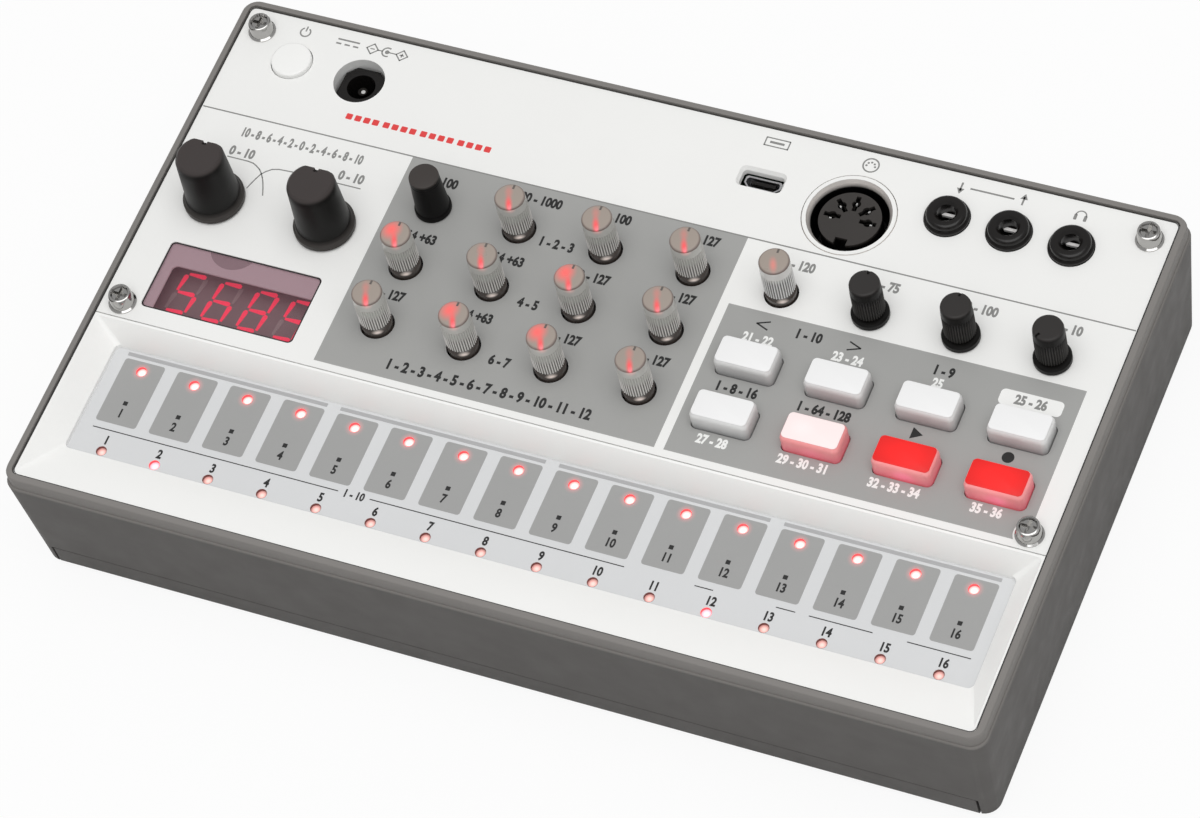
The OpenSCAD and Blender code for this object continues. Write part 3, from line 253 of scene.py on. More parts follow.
@dataclass(frozen=True)
class RadialShading:
    """Painted shade and highlights by distance from the axes of a grid of shafts, as on their grip ribs.

    Attributes:
        colour: screen colour at the foot of a groove, as painted shade.
        pale: screen colour of a rib's crest, as a painted highlight.
        centre: middle of one shaft.
        pitch: spacing of the shafts along X and Y.
        foot: distance of a groove's foot from the shaft's axis.
        crest: distance of a rib's crest.
        low: height where the ribs begin.
        soft: height from which their contrast fades.
        top: height where they end.
        spread: height over which the contrast fades.
        rest: share of the contrast that stays.
    """

    colour: Colour
    pale: Colour
    centre: Point
    pitch: Point
    foot: float
    crest: float
    low: float
    soft: float
    top: float
    spread: float = 1.7
    rest: float = 0.12

    def over(self, nodes: Nodes, tint: Socket) -> Socket:
        """Return the tint with the ribs' painted shade and highlights laid over it."""
        axes = nodes.axes()
        squares = [nodes.square(nodes.away(*axis)) for axis in zip(axes, self.centre, self.pitch)]
        radius = nodes.math("SQRT", nodes.math("ADD", *squares))
        high = nodes.remap(radius, (self.foot * MM, self.crest * MM), (0.0, 1.0))
        ribs = nodes.blend(high, linear(self.colour), linear(self.pale))
        above = nodes.remap(axes[2], (self.soft * MM, (self.soft + self.spread) * MM), (1.0, self.rest),
                            smooth=True)
        inside = nodes.math("MULTIPLY", nodes.math("LESS_THAN", axes[2], self.top * MM),
                            nodes.math("GREATER_THAN", axes[2], self.low * MM))
        return nodes.blend(nodes.math("MULTIPLY", inside, above), tint, ribs)


@dataclass(frozen=True)
class HeightShading:
    """Painted light and shade by height: a second colour that a surface takes lower down, for shade in holes
    and recesses, darker sides under a lit top, and light sinking into translucent plastic.

    Attributes:
        colour: screen colour at the lower height.
        low: height where that colour is whole.
        high: height where the finish's own colour is whole.
    """

    colour: Colour
    low: float
    high: float


@dataclass(frozen=True)
class Finish:
    """A surface whose colour, gloss and relief vary a little, as moulded, printed or plated ones do.

    Attributes:
        name: name of the material.
        colour: screen colour.
        roughness: middle of the roughness.
        metallic: 1 for metal.
        mottle: share by which the colour wanders.
        grain: size of the surface's relief.
        relief: depth of that relief.
        clear: share of the light that passes through.
        milky: share of the light that scatters below the surface.
        coat: strength of a clear gloss over the colour.
        shine: strength of the gloss, where 0.5 is that of common plastic.
        alpha: share of the surface that hides what lies behind it.
        height_shading: painted light and shade by height.
        groove: painted shade and highlights by distance from an axis, as on grip ribs.
        glows: patches of light.
    """

    name: str
    colour: Colour
    roughness: float = 0.5
    metallic: float = 0.0
    mottle: float = 0.02
    grain: float = 0.3
    relief: float = 0.004
    clear: float = 0.0
    milky: float = 0.0
    coat: float = 0.0
    shine: float = 0.5
    alpha: float = 1.0
    height_shading: HeightShading | None = None
    groove: RadialShading | None = None
    glows: tuple[Glow, ...] = ()

    def material(self) -> bpy.types.Material:
        """Return the finish's material, made on first use."""
        made = bpy.data.materials.get(self.name)
        if made is None:
            made = bpy.data.materials.new(self.name)
            self._fill(Nodes(made))
        return made

    def _fill(self, nodes: Nodes) -> None:
        """Set the shader's sockets and add its patterns."""
        inputs = nodes.shader.inputs
        inputs["Metallic"].default_value = self.metallic
        inputs["Transmission Weight"].default_value = self.clear
        inputs["Subsurface Weight"].default_value = self.milky
        inputs["Subsurface Scale"].default_value = MM
        inputs["Subsurface Radius"].default_value = (1.0, 1.0, 1.0)
        inputs["Alpha"].default_value = self.alpha
        inputs["Specular IOR Level"].default_value = self.shine
        inputs["Coat Weight"].default_value = self.coat
        inputs["Coat Roughness"].default_value = COAT_ROUGHNESS
        nodes.feed(inputs["Base Color"], self._tint(nodes))
        gloss = nodes.remap(nodes.noise(*GLOSS_NOISE), NOISE_SPAN,
                            (self.roughness * (1 - GLOSS_SWING),
                             min(1.0, self.roughness * (1 + GLOSS_SWING))))
        nodes.feed(inputs["Roughness"], gloss)
        bump = nodes.add("ShaderNodeBump")
        bump.inputs["Strength"].default_value = 1.0
        bump.inputs["Distance"].default_value = self.relief * MM
        nodes.feed(bump.inputs["Height"], nodes.noise(self.grain, RELIEF_DETAIL))
        nodes.feed(inputs["Normal"], bump.outputs[0])
        if self.glows:
            self._light(nodes)

    def _tint(self, nodes: Nodes) -> Socket:
        """Return the wandering base colour, with the painted shade by height, the painted shade and
        highlights of the ribs, and the glows' painted light over it.
        """
        middle = linear(self.colour)[:3]
        deep, pale = ([min(1.0, c * (1 + swing)) for c in middle] + [1.0]
                      for swing in (-self.mottle, self.mottle))
        tint = nodes.blend(nodes.remap(nodes.noise(*COLOUR_NOISE), NOISE_SPAN, (0.0, 1.0)), deep, pale)
        if self.height_shading:
            height = nodes.remap(nodes.axes()[2], (self.height_shading.low * MM, self.height_shading.high * MM),
                                 (0.0, 1.0), smooth=True)
            tint = nodes.blend(height, linear(self.height_shading.colour), tint)
        if self.groove:
            tint = self.groove.over(nodes, tint)
        for glow in self.glows:
            if glow.painted_share:
                share = nodes.math("MULTIPLY", glow.share(nodes), glow.painted_share)
                tint = nodes.blend(share, tint, linear(glow.colour))
        return tint

    def _light(self, nodes: Nodes) -> None:
        """Add up the glows as the shader's emission."""
        total: object = BLACK
        for glow in self.glows:
            bright = [c * glow.strength for c in linear(glow.colour)[:3]] + [1.0]
            total = nodes.blend(1.0, total, nodes.blend(glow.share(nodes), BLACK, bright), "ADD")
        nodes.feed(nodes.shader.inputs["Emission Color"], total)
        nodes.shader.inputs["Emission Strength"].default_value = 1.0


# The case's top rim is painted lighter than its walls: painted light on the upper faces, painted shade on the
# walls and in the step under the rim.
CASE_PLASTIC = Finish("case_plastic", (128, 125, 122), 0.55, mottle=0.012, grain=0.35, relief=0.012,
                      shine=0.15, height_shading=HeightShading((94, 92, 90), PANEL_Z - 3.1, PANEL_Z - 2.5))
PANEL_WHITE = Finish("panel_white", (236, 236, 234), 0.42, mottle=0.006, grain=0.5, relief=0.003)
BEZEL_WHITE = Finish("bezel_white", (242, 242, 240), 0.42, mottle=0.006, grain=0.5, relief=0.003)
PRINT_GREY = Finish("print_grey", (158, 158, 156), 0.45, mottle=0.012, grain=0.4, relief=0.003)
SHEET_SILVER = Finish("sheet_silver", (210, 211, 212), 0.24, mottle=0.01, grain=1.2, relief=0.002)
# The encoder's and tone knobs' tops are painted lighter than their near-black sides as painted light; the
# tone knobs' skirts get painted shade in their groove and a painted highlight on their ledge.
ENCODER_BLACK = Finish("encoder_black", (66, 62, 60), 0.4, mottle=0.04, grain=0.25, relief=0.006,
                       shine=0.12, height_shading=HeightShading((14, 13, 13), PANEL_Z + 9.9, PANEL_Z + 10.5))
TONE_BLACK = Finish("tone_black", (66, 61, 60), 0.4, mottle=0.04, grain=0.25, relief=0.006, shine=0.14,
                    height_shading=HeightShading((17, 16, 15), PANEL_Z + 13.4, PANEL_Z + 14.4),
                    groove=RadialShading((15, 14, 13), (60, 57, 55), (-82.75, 11.55), (23.2, FAR), 5.1, 5.75,
                                  PANEL_Z, PANEL_Z + 2.2, PANEL_Z + 3.0))
SOCKET_BLACK = Finish("socket_black", (22, 20, 19), 0.24, mottle=0.08, shine=0.3)
# The DIN insert and shell are painted near black below their faces: painted shade down in the socket.
INSERT_BLACK = Finish("insert_black", (56, 53, 51), 0.4, mottle=0.06, relief=0.006, shine=0.3,
                      height_shading=HeightShading((8, 7, 7), PANEL_Z - 2.2, PANEL_Z - 1.4))
SHELL_NICKEL = Finish("shell_nickel", (236, 230, 225), 0.34, metallic=0.6, mottle=0.03, grain=0.8,
                      relief=0.001, height_shading=HeightShading((10, 9, 9), PANEL_Z - 1.7, PANEL_Z - 0.9))
# A darker plate on each cap is painted shade in its pointer notch.
NOTCH_SHADE = Finish("notch_shade", (96, 90, 86), mottle=0.04)
CONTACT_GLEAM = Finish("contact_gleam", (250, 248, 246), 0.2, metallic=0.2)
# Small near-white pieces are painted glints on the DIN contacts and the DC pin.
CONTACT_GLINT = Finish("contact_glint", (212, 212, 210), 0.35, metallic=0.4)
# Metal contacts painted dark: painted shade deep in their holes.
CONTACT_SHADED = Finish("contact_shaded", (48, 46, 44), 0.35, metallic=1.0, mottle=0.08)
CHROME = Finish("chrome", (178, 177, 175), 0.12, metallic=1.0, grain=0.8, relief=0.001)
STEEL = Finish("steel_sheet", (196, 196, 198), 0.3, metallic=1.0, mottle=0.04, relief=0.002)
RUBBER = Finish("foot_rubber", (38, 38, 38), 0.8, mottle=0.08, relief=0.02)
SOLDER_MASK = Finish("solder_mask", (28, 88, 52), 0.35, mottle=0.12, grain=1.0, relief=0.01, coat=0.3)
CHIP_EPOXY = Finish("chip_epoxy", (32, 32, 34), 0.6, mottle=0.08, grain=0.15, relief=0.006)
RIBBON = Finish("ribbon", (206, 204, 198), mottle=0.03, grain=0.6, relief=0.01)
MAT_SILICONE = Finish("mat_silicone", (196, 198, 198), 0.6, grain=0.4, relief=0.01)
CELL_SLEEVE = Finish("cell_sleeve", (192, 160, 82), 0.3, mottle=0.06, grain=2.0, coat=0.4)
BUTTON_WHITE = Finish("button_white", (240, 240, 238), 0.36, mottle=0.008, grain=0.4)
KEY_PAINT = Finish("key_paint", (237, 237, 237), 0.42, mottle=0.004, relief=0.003)
MODULE_FACE = Finish("module_face", (134, 112, 115), mottle=0.04)
STROKE_UNLIT = Finish("stroke_unlit", (158, 138, 140), mottle=0.03)
WINDOW_TINT = Finish("window_tint", (120, 84, 94), 0.06, mottle=0.01, relief=0.0, alpha=0.16)
LAMP_BODY = Finish("lamp_body", (240, 110, 110), 0.3)


class Ink(Enum):
    """Inks of the printed legends."""

    DARK = Finish("dark_ink", (24, 24, 24), mottle=0.04)
    GREY = Finish("grey_ink", (134, 134, 132))
    WHITE = Finish("white_ink", (238, 238, 236), 0.45, mottle=0.01)
    PALE = Finish("pale_ink", (168, 168, 169), 0.4, mottle=0.01)
    RED = Finish("red_ink", (222, 62, 62), 0.45, mottle=0.03)


def mesh_of(bm: BMesh, name: str) -> bpy.types.Mesh:
    """Turn a bmesh into a mesh, free it and return the mesh."""
    mesh = bpy.data.meshes.new(name)
    bm.to_mesh(mesh)
    bm.free()
    return mesh


def put_out(name: str, data: bpy.types.ID) -> bpy.types.Object:
    """Put a new object with this data into the scene and return it."""
    made = bpy.data.objects.new(name, data)
    bpy.context.scene.collection.objects.link(made)
    return made


class Workshop:
    """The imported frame, and the ways in which finished pieces are put into it."""

    def __init__(self, frame: dict) -> None:
        """Keep the CAD nodes and note which body carries each.
        """
        self.nodes = frame["nodes"]
        bodies = frame["record"]["behaviour"]["bodies"]
        self.body_of = {node: body for body, names in bodies.items() for node in names}

    def dress(self, finish: Finish, *names: str) -> None:
        """Give CAD nodes a finish and leave their shape as it is."""
        for name in names:
            for slot in self.nodes[name].material_slots:
                slot.material = finish.material()

    def stand_in(self, name: str, finish: Finish, crease: float = CREASE) -> None:
        """Put a merged, smoothly shaded copy in place of a CAD node, on the node's own body.

        Args:
            name: the CAD node.
            finish: its finish.
            crease: angle from which an edge stays sharp.
        """
        bm = bmesh.new()
        bm.from_mesh(self.nodes[name].data)
        bmesh.ops.remove_doubles(bm, verts=bm.verts, dist=WELD * MM)
        made = self.add(f"{name}_finish", bm, finish, self.body_of[name], crease, turn_out=False)
        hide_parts(name)

    @contextmanager
    def piece(self, name: str, finish: Finish, body: str = "case",
              crease: float = CREASE) -> Iterator[BMesh]:
        """Lend a new mesh, and make an object of it once it is filled.

        Args:
            name: name of the piece.
            finish: its finish.
            body: the CAD body that carries it.
            crease: angle from which an edge stays sharp.

        Yields:
            The mesh, which takes metres.
        """
        bm = bmesh.new()
        yield bm
        self.add(name, bm, finish, body, crease)

    def add(self, name: str, bm: BMesh, finish: Finish, body: str = "case", crease: float = CREASE,
            turn_out: bool = True) -> bpy.types.Object:
        """Make an object of a bmesh and let it ride on a body.

        Args:
            name: name of the piece.
            bm: its mesh, in metres and in place, which is freed.
            finish: its finish.
            body: the CAD body that carries it.
            crease: angle from which an edge stays sharp.
            turn_out: whether its faces have to be turned outwards.

        Returns:
            The new object.
        """
        if turn_out:
            bmesh.ops.recalc_face_normals(bm, faces=bm.faces)
        for face in bm.faces:
            face.smooth = True
        for edge in bm.edges:
            edge.smooth = edge.is_manifold and edge.calc_face_angle(math.pi) < math.radians(crease)
        mesh = mesh_of(bm, name)
        mesh.materials.append(finish.material())
        made = put_out(name, mesh)
        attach(made, body)
        return made


def at(x: float, y: float, z: float, turn: float = 0.0) -> Matrix:
    """Return the matrix of a place in millimetres, turned about Z by turn degrees."""
    return Matrix.Translation(Vector((x, y, z)) * MM) @ Matrix.Rotation(math.radians(turn), 4, "Z")


def block(bm: BMesh, place: Matrix, size: Place) -> list[BMVert]:
    """Add a box and return its corners.

    Args:
        bm: the mesh that it goes into.
        place: its middle and turn.
        size: its width, depth and height.

    Returns:
        The new vertices.
    """
    scale = Matrix.Diagonal((*(s * MM for s in size), 1.0))
    return bmesh.ops.create_cube(bm, size=1.0, matrix=place @ scale)["verts"]


def soften(bm: BMesh, edges: list[BMEdge], radius: float, segments: int) -> list[BMVert]:
    """Round edges off.

    Args:
        bm: their mesh.
        edges: the edges.
        radius: the radius that they get.
        segments: number of faces across each.

    Returns:
        The new vertices.
    """
    return bmesh.ops.bevel(bm, geom=edges, offset=radius * MM, offset_type="OFFSET", segments=segments,
                           profile=0.5, affect="EDGES", material=-1)["verts"]


def slice_off(bm: BMesh, x: float, y: float, out: Point) -> None:
    """Cut away all that lies beyond an upright plane.

    Args:
        bm: the mesh to cut.
        x: a point of the plane, from left to right.
        y: that point from front to back.
        out: direction of the side that goes.
    """
    bmesh.ops.bisect_plane(bm, geom=bm.verts[:] + bm.edges[:] + bm.faces[:], dist=ON_CUT,
                           plane_co=(x * MM, y * MM, 0), plane_no=(*out, 0), clear_outer=True)


def thicken(bm: BMesh, height: float) -> None:
    """Make a closed plate of a mesh's faces, which reaches down where the height is negative."""
    raised = bmesh.ops.extrude_face_region(bm, geom=bm.faces[:], use_keep_orig=True)["geom"]
    moved = [v for v in raised if isinstance(v, BMVert)]
    bmesh.ops.translate(bm, verts=moved, vec=(0, 0, height * MM))


def tablet(bm: BMesh, place: Matrix, size: Place, corner: float, edge: float = 0.0) -> None:
    """Add a plate with round corners.

    Args:
        bm: the mesh that it goes into.
        place: its middle and turn.
        size: its width, depth and height.
        corner: radius of its four upright corners.
        edge: radius of its upper edge, or 0 for a sharp one.
    """
    corners = block(bm, place, size)
    upright = [e for e in {e for v in corners for e in v.link_edges}
               if abs(e.verts[0].co.z - e.verts[1].co.z) > size[2] * MM / 2]
    made = soften(bm, upright, corner, 6)
    if edge:
        top = max(v.co.z for v in made)
        rim = {e for v in made for e in v.link_edges if all(abs(w.co.z - top) < NEAR for w in e.verts)}
        soften(bm, list(rim), edge, 3)


def edges_above(bm: BMesh, z: float) -> list[BMEdge]:
    """Return the edges that lie wholly above a height."""
    return [e for e in bm.edges if all(v.co.z > z * MM for v in e.verts)]


def disc(bm: BMesh, place: Matrix, radius: float, thick: float, sides: int = 40) -> list[BMVert]:
    """Add a round plate or pin, centred on its place, and return its corners."""
    return bmesh.ops.create_cone(bm, cap_ends=True, cap_tris=False, segments=sides, radius1=radius * MM,
                                 radius2=radius * MM, depth=thick * MM, matrix=place)["verts"]


def ring(bm: BMesh, place: Matrix, radius: float, line: float, thick: float,
         start: float = 0.0, sweep: float = FULL_TURN) -> None:
    """Spin a flat band into a ring or an arc.

    Args:
        bm: the mesh that it goes into.
        place: its centre.
        radius: radius of the middle of the band.
        line: width of the band.
        thick: its height.
        start: angle of its first end, in degrees from +X.
        sweep: angle that it covers.
    """
    turned = place @ Matrix.Rotation(math.radians(start), 4, "Z")
    stand = Matrix.Translation((radius * MM, 0, 0)) @ Matrix.Rotation(math.pi / 2, 4, "X")
    scale = Matrix.Diagonal((line * MM, thick * MM, 1.0, 1.0))
    verts = bmesh.ops.create_grid(bm, x_segments=1, y_segments=1, size=0.5,
                                  matrix=turned @ stand @ scale)["verts"]
    face = verts[0].link_faces[0]
    whole = sweep >= FULL_TURN
    geom = list(face.edges) + verts
    if whole:
        bmesh.ops.delete(bm, geom=[face], context="FACES_ONLY")
    else:
        geom.append(face)
    bmesh.ops.spin(bm, geom=geom, cent=place.translation, axis=(0, 0, 1), dvec=(0, 0, 0),
                   angle=math.radians(sweep), steps=max(4, round(RING_STEPS * sweep / FULL_TURN)),
                   use_merge=whole)


@dataclass
class Printer:
    """Thin printed marks on a flat surface, gathered into one piece for each ink.

    Attributes:
        shop: where the pieces go.
        name: start of the pieces' names.
        surface: height of the surface.
        body: the body that carries it.
        bold: how far the figures' outlines are widened, as a share of the font's size.
        thick: how far a mark stands over the surface.
        sink: how far it reaches into the surface.
        lap: how far the lines of a path are lengthened to meet, as a share of their width.
        sheets: the mesh of each ink in use.
    """

    shop: Workshop
    name: str
    surface: float
    body: str = "case"
    bold: float = 0.048
    thick: float = PRINT_T
    sink: float = 0.01
    lap: float = 0.6
    sheets: dict[Ink, BMesh] = field(default_factory=dict)

    def _sheet(self, ink: Ink) -> BMesh:
        """Return the ink's mesh, started on first use."""
        if ink not in self.sheets:
            self.sheets[ink] = bmesh.new()
        return self.sheets[ink]

    def _at(self, x: float, y: float, turn: float = 0.0) -> Matrix:
        """Return the matrix of a mark's middle."""
        return at(x, y, self.surface + (self.thick - self.sink) / 2, turn)

    @property
    def _height(self) -> float:
        """Whole height of a mark."""
        return self.thick + self.sink

    def bar(self, ink: Ink, x: float, y: float, wide: float, deep: float, turn: float = 0.0) -> None:
        """Print a bar of wide by deep round (x, y), turned by turn degrees."""
        block(self._sheet(ink), self._at(x, y, turn), (wide, deep, self._height))

    def bars(self, ink: Ink, *bars: Sides) -> None:
        """Print bars, each given by its middle, width and depth."""
        for bar in bars:
            self.bar(ink, *bar)

    def plate(self, ink: Ink, x: float, y: float, wide: float, deep: float, corner: float) -> None:
        """Print a bar with round corners."""
        tablet(self._sheet(ink), self._at(x, y), (wide, deep, self._height), corner)

    def path(self, ink: Ink, points: Iterable[Point], line: float, closed: bool = False) -> None:
        """Print straight lines from point to point, and back to the first where it is closed."""
        points = list(points)
        for (x0, y0), (x1, y1) in zip(points, points[1:] + points[:closed]):
            length = math.hypot(x1 - x0, y1 - y0) + line * self.lap
            turn = math.degrees(math.atan2(y1 - y0, x1 - x0))
            self.bar(ink, (x0 + x1) / 2, (y0 + y1) / 2, length, line, turn)

    def dot(self, ink: Ink, x: float, y: float, radius: float, sides: int = 32, turn: float = 0.0) -> None:
        """Print a dot, or a regular shape where it has few sides."""
        disc(self._sheet(ink), self._at(x, y, turn), radius, self._height, sides)

    def arc(self, ink: Ink, x: float, y: float, radius: float, line: float, start: float = 0.0,
            sweep: float = FULL_TURN) -> None:
        """Print a ring, or a part of one, with its middle at (x, y)."""
        ring(self._sheet(ink), self._at(x, y), radius, line, self._height, start, sweep)

    def text(self, ink: Ink, words: str, x: float, y: float, tall: float, squeeze: float = 0.78) -> None:
        """Print figures.

        Args:
            ink: the ink.
            words: the figures.
            x: middle of the line from left to right.
            y: middle of the line from front to back.
            tall: height of the figures.
            squeeze: their width as a share of the font's own.
        """
        curve = bpy.data.curves.new("words", "FONT")
        curve.body = words
        curve.align_x = "CENTER"
        curve.resolution_u = 3
        curve.extrude = 0.5
        curve.offset = self.bold
        holder = bpy.data.objects.new("words", curve)
        mesh = bpy.data.meshes.new_from_object(holder)
        scale = tall / FIGURE_SHARE * MM
        shape = Matrix.Diagonal((scale * squeeze, scale, self._height * MM, 1.0))
        mesh.transform(self._at(x, y - tall / 2) @ shape)
        self._sheet(ink).from_mesh(mesh)
        bpy.data.objects.remove(holder)
        bpy.data.curves.remove(curve)
        bpy.data.meshes.remove(mesh)

    def texts(self, ink: Ink, tall: float, lines: Iterable[tuple[str, float, float]]) -> None:
        """Print lines of figures, each with its middle."""
        for words, x, y in lines:
            self.text(ink, words, x, y, tall)

    def done(self) -> None:
        """Turn each ink's marks into a piece."""
        for ink, bm in self.sheets.items():
            bmesh.ops.remove_doubles(bm, verts=bm.verts, dist=WELD / 2 * MM)
            self.shop.add(f"{self.name}_{ink.name.lower()}", bm, ink.value, self.body)
        self.sheets.clear()


def rounded(x: float, y: float, wide: float, deep: float, corner: float) -> list[Point]:
    """Return the outline of a rectangle with round corners, counter-clockwise.

    Args:
        x: its middle from left to right.
        y: its middle from front to back.
        wide: its width.
        deep: its depth.
        corner: radius of its corners, or 0 for sharp ones.
    """
    points = []
    for quarter, (sx, sy) in enumerate(((1, 1), (-1, 1), (-1, -1), (1, -1))):
        for step in range(CORNER_STEPS + 1 if corner else 1):
            turn = math.radians(90 * (quarter + step / CORNER_STEPS))
            points.append((x + sx * (wide / 2 - corner) + corner * math.cos(turn),
                           y + sy * (deep / 2 - corner) + corner * math.sin(turn)))
    return points


def face_print(bm: BMesh, mesh: bpy.types.Mesh, level: float, outline: list[Point]) -> None:
    """Cut a flat upper face of a mesh to an outline and raise it into a thin closed print.

    Args:
        bm: the mesh that the print goes into.
        mesh: the mesh whose face is printed, with its holes.
        level: height of that face.
        outline: corners of a convex outline, counter-clockwise.
    """
    cut = bmesh.new()
    cut.from_mesh(mesh)
    lowest = (level - PRINT_T) * MM
    other = [f for f in cut.faces if f.normal.z < FACE_UP or f.calc_center_median().z < lowest]
    bmesh.ops.delete(cut, geom=other, context="FACES")
    bmesh.ops.remove_doubles(cut, verts=cut.verts, dist=WELD * MM)
    for (x0, y0), (x1, y1) in zip(outline, outline[1:] + outline[:1]):
        slice_off(cut, x0, y0, (y1 - y0, x0 - x1))
    bmesh.ops.dissolve_limit(cut, angle_limit=0.01, verts=cut.verts, edges=cut.edges)
    thicken(cut, PRINT_T)
    held = mesh_of(cut, "print")
    bm.from_mesh(held)
    bpy.data.meshes.remove(held)


@dataclass
class SubAssembly:
    """A part of the machine that is dressed in one go.

    Attributes:
        shop: the frame that its pieces go into.
    """

    shop: Workshop

    def build(self) -> None:
        """Dress the part's CAD nodes and add its pieces."""
        raise NotImplementedError


@dataclass
class CaseShell(SubAssembly):
    """The dark lower case with its battery cover, feet and screws.

    Attributes:
        floor_z: height of the bottom's face.
        cover_y: middle of the finger grip.
        grip_lines: number of its ribs.
        grip_pitch: their spacing.
        grip_rib: length, width and height of a rib.
        arrow_gap: distance of the arrow in front of the grip's middle.
    """

    floor_z: float = 0.9
    cover_y: float = -36.0
    grip_lines: int = 7
    grip_pitch: float = 1.6
    grip_rib: Place = (22.0, 0.7, 0.5)
    arrow_gap: float = 10.0

    def build(self) -> None:
        """Dress the case, and add the cover's finger grip and its arrow."""
        self.shop.stand_in("case_bottom", CASE_PLASTIC, 25.0)
        self.shop.stand_in("battery_cover", CASE_PLASTIC, 25.0)
        self.shop.dress(RUBBER, "case_feet", "cover_feet")
        self.shop.stand_in("case_screws", STEEL)
        with self.shop.piece("cover_grip", CASE_PLASTIC, "cover") as bm:
            for i in range(self.grip_lines):
                y = self.cover_y + self.grip_pitch * (i - (self.grip_lines - 1) / 2)
                tablet(bm, at(0.0, y, self.floor_z), self.grip_rib, 0.3)
            disc(bm, at(0.0, self.cover_y - self.arrow_gap, self.floor_z, 180), 2.6, self.grip_rib[2], 3)


@dataclass
class FrontPanel(SubAssembly):
    """The white panel with its two grey printed areas, its section line and a dark line of painted shade
    along its edge.

    Attributes:
        areas: left, right, front and rear edges of the grey areas.
        screw: the screw that the right area keeps clear of.
        clear_r: radius of the white round that screw.
        screw_r: radius of the white's inner edge, under the screw's head.
        line_y: place of the section line.
        line_w: its width.
        line_gap: distance of its ends from the panel's edges.
        size: width and depth of the panel with the bezel.
        corner: radius of their corners.
        edge_w: width of the dark line along their edge, painted shade in the gap to the case.
    """

    areas: tuple[Sides, ...] = ((-49.65, 18.75, -16.65, 30.95), (20.6, 90.0, -16.6, 16.4))
    screw: Point = (90.2, -14.9)
    clear_r: float = 3.05
    screw_r: float = 1.8
    line_y: float = 31.1
    line_w: float = 0.28
    line_gap: float = 0.3
    size: Point = (189.0, 111.0)
    corner: float = 1.2
    edge_w: float = 0.15

    def build(self) -> None:
        """Dress the panel, lay its print on it and paint shade along its edge."""
        self.shop.stand_in("front_panel", PANEL_WHITE)
        with self.shop.piece("panel_areas", PRINT_GREY) as bm:
            for left, right, front, rear in self.areas:
                outline = rounded((left + right) / 2, (front + rear) / 2, right - left, rear - front, 0.0)
                face_print(bm, self.shop.nodes["front_panel"].data, PANEL_Z, outline)
        marks = Printer(self.shop, "panel_line_and_gap_shade", PANEL_Z)
        marks.bar(Ink.GREY, 0.0, self.line_y, self.size[0] - 2 * self.line_gap, self.line_w)
        # A dark line round the panel's edge is painted shade in the gap between the panel and the case.
        wide, deep = (side - self.edge_w for side in self.size)
        marks.path(Ink.DARK, rounded(0.0, 0.0, wide, deep, self.corner), self.edge_w, closed=True)
        marks.done()
        with self.shop.piece("panel_screw_clearing", PANEL_WHITE) as bm:
            ring(bm, at(*self.screw, PANEL_Z + 0.015), (self.clear_r + self.screw_r) / 2,
                 self.clear_r - self.screw_r, 0.05)


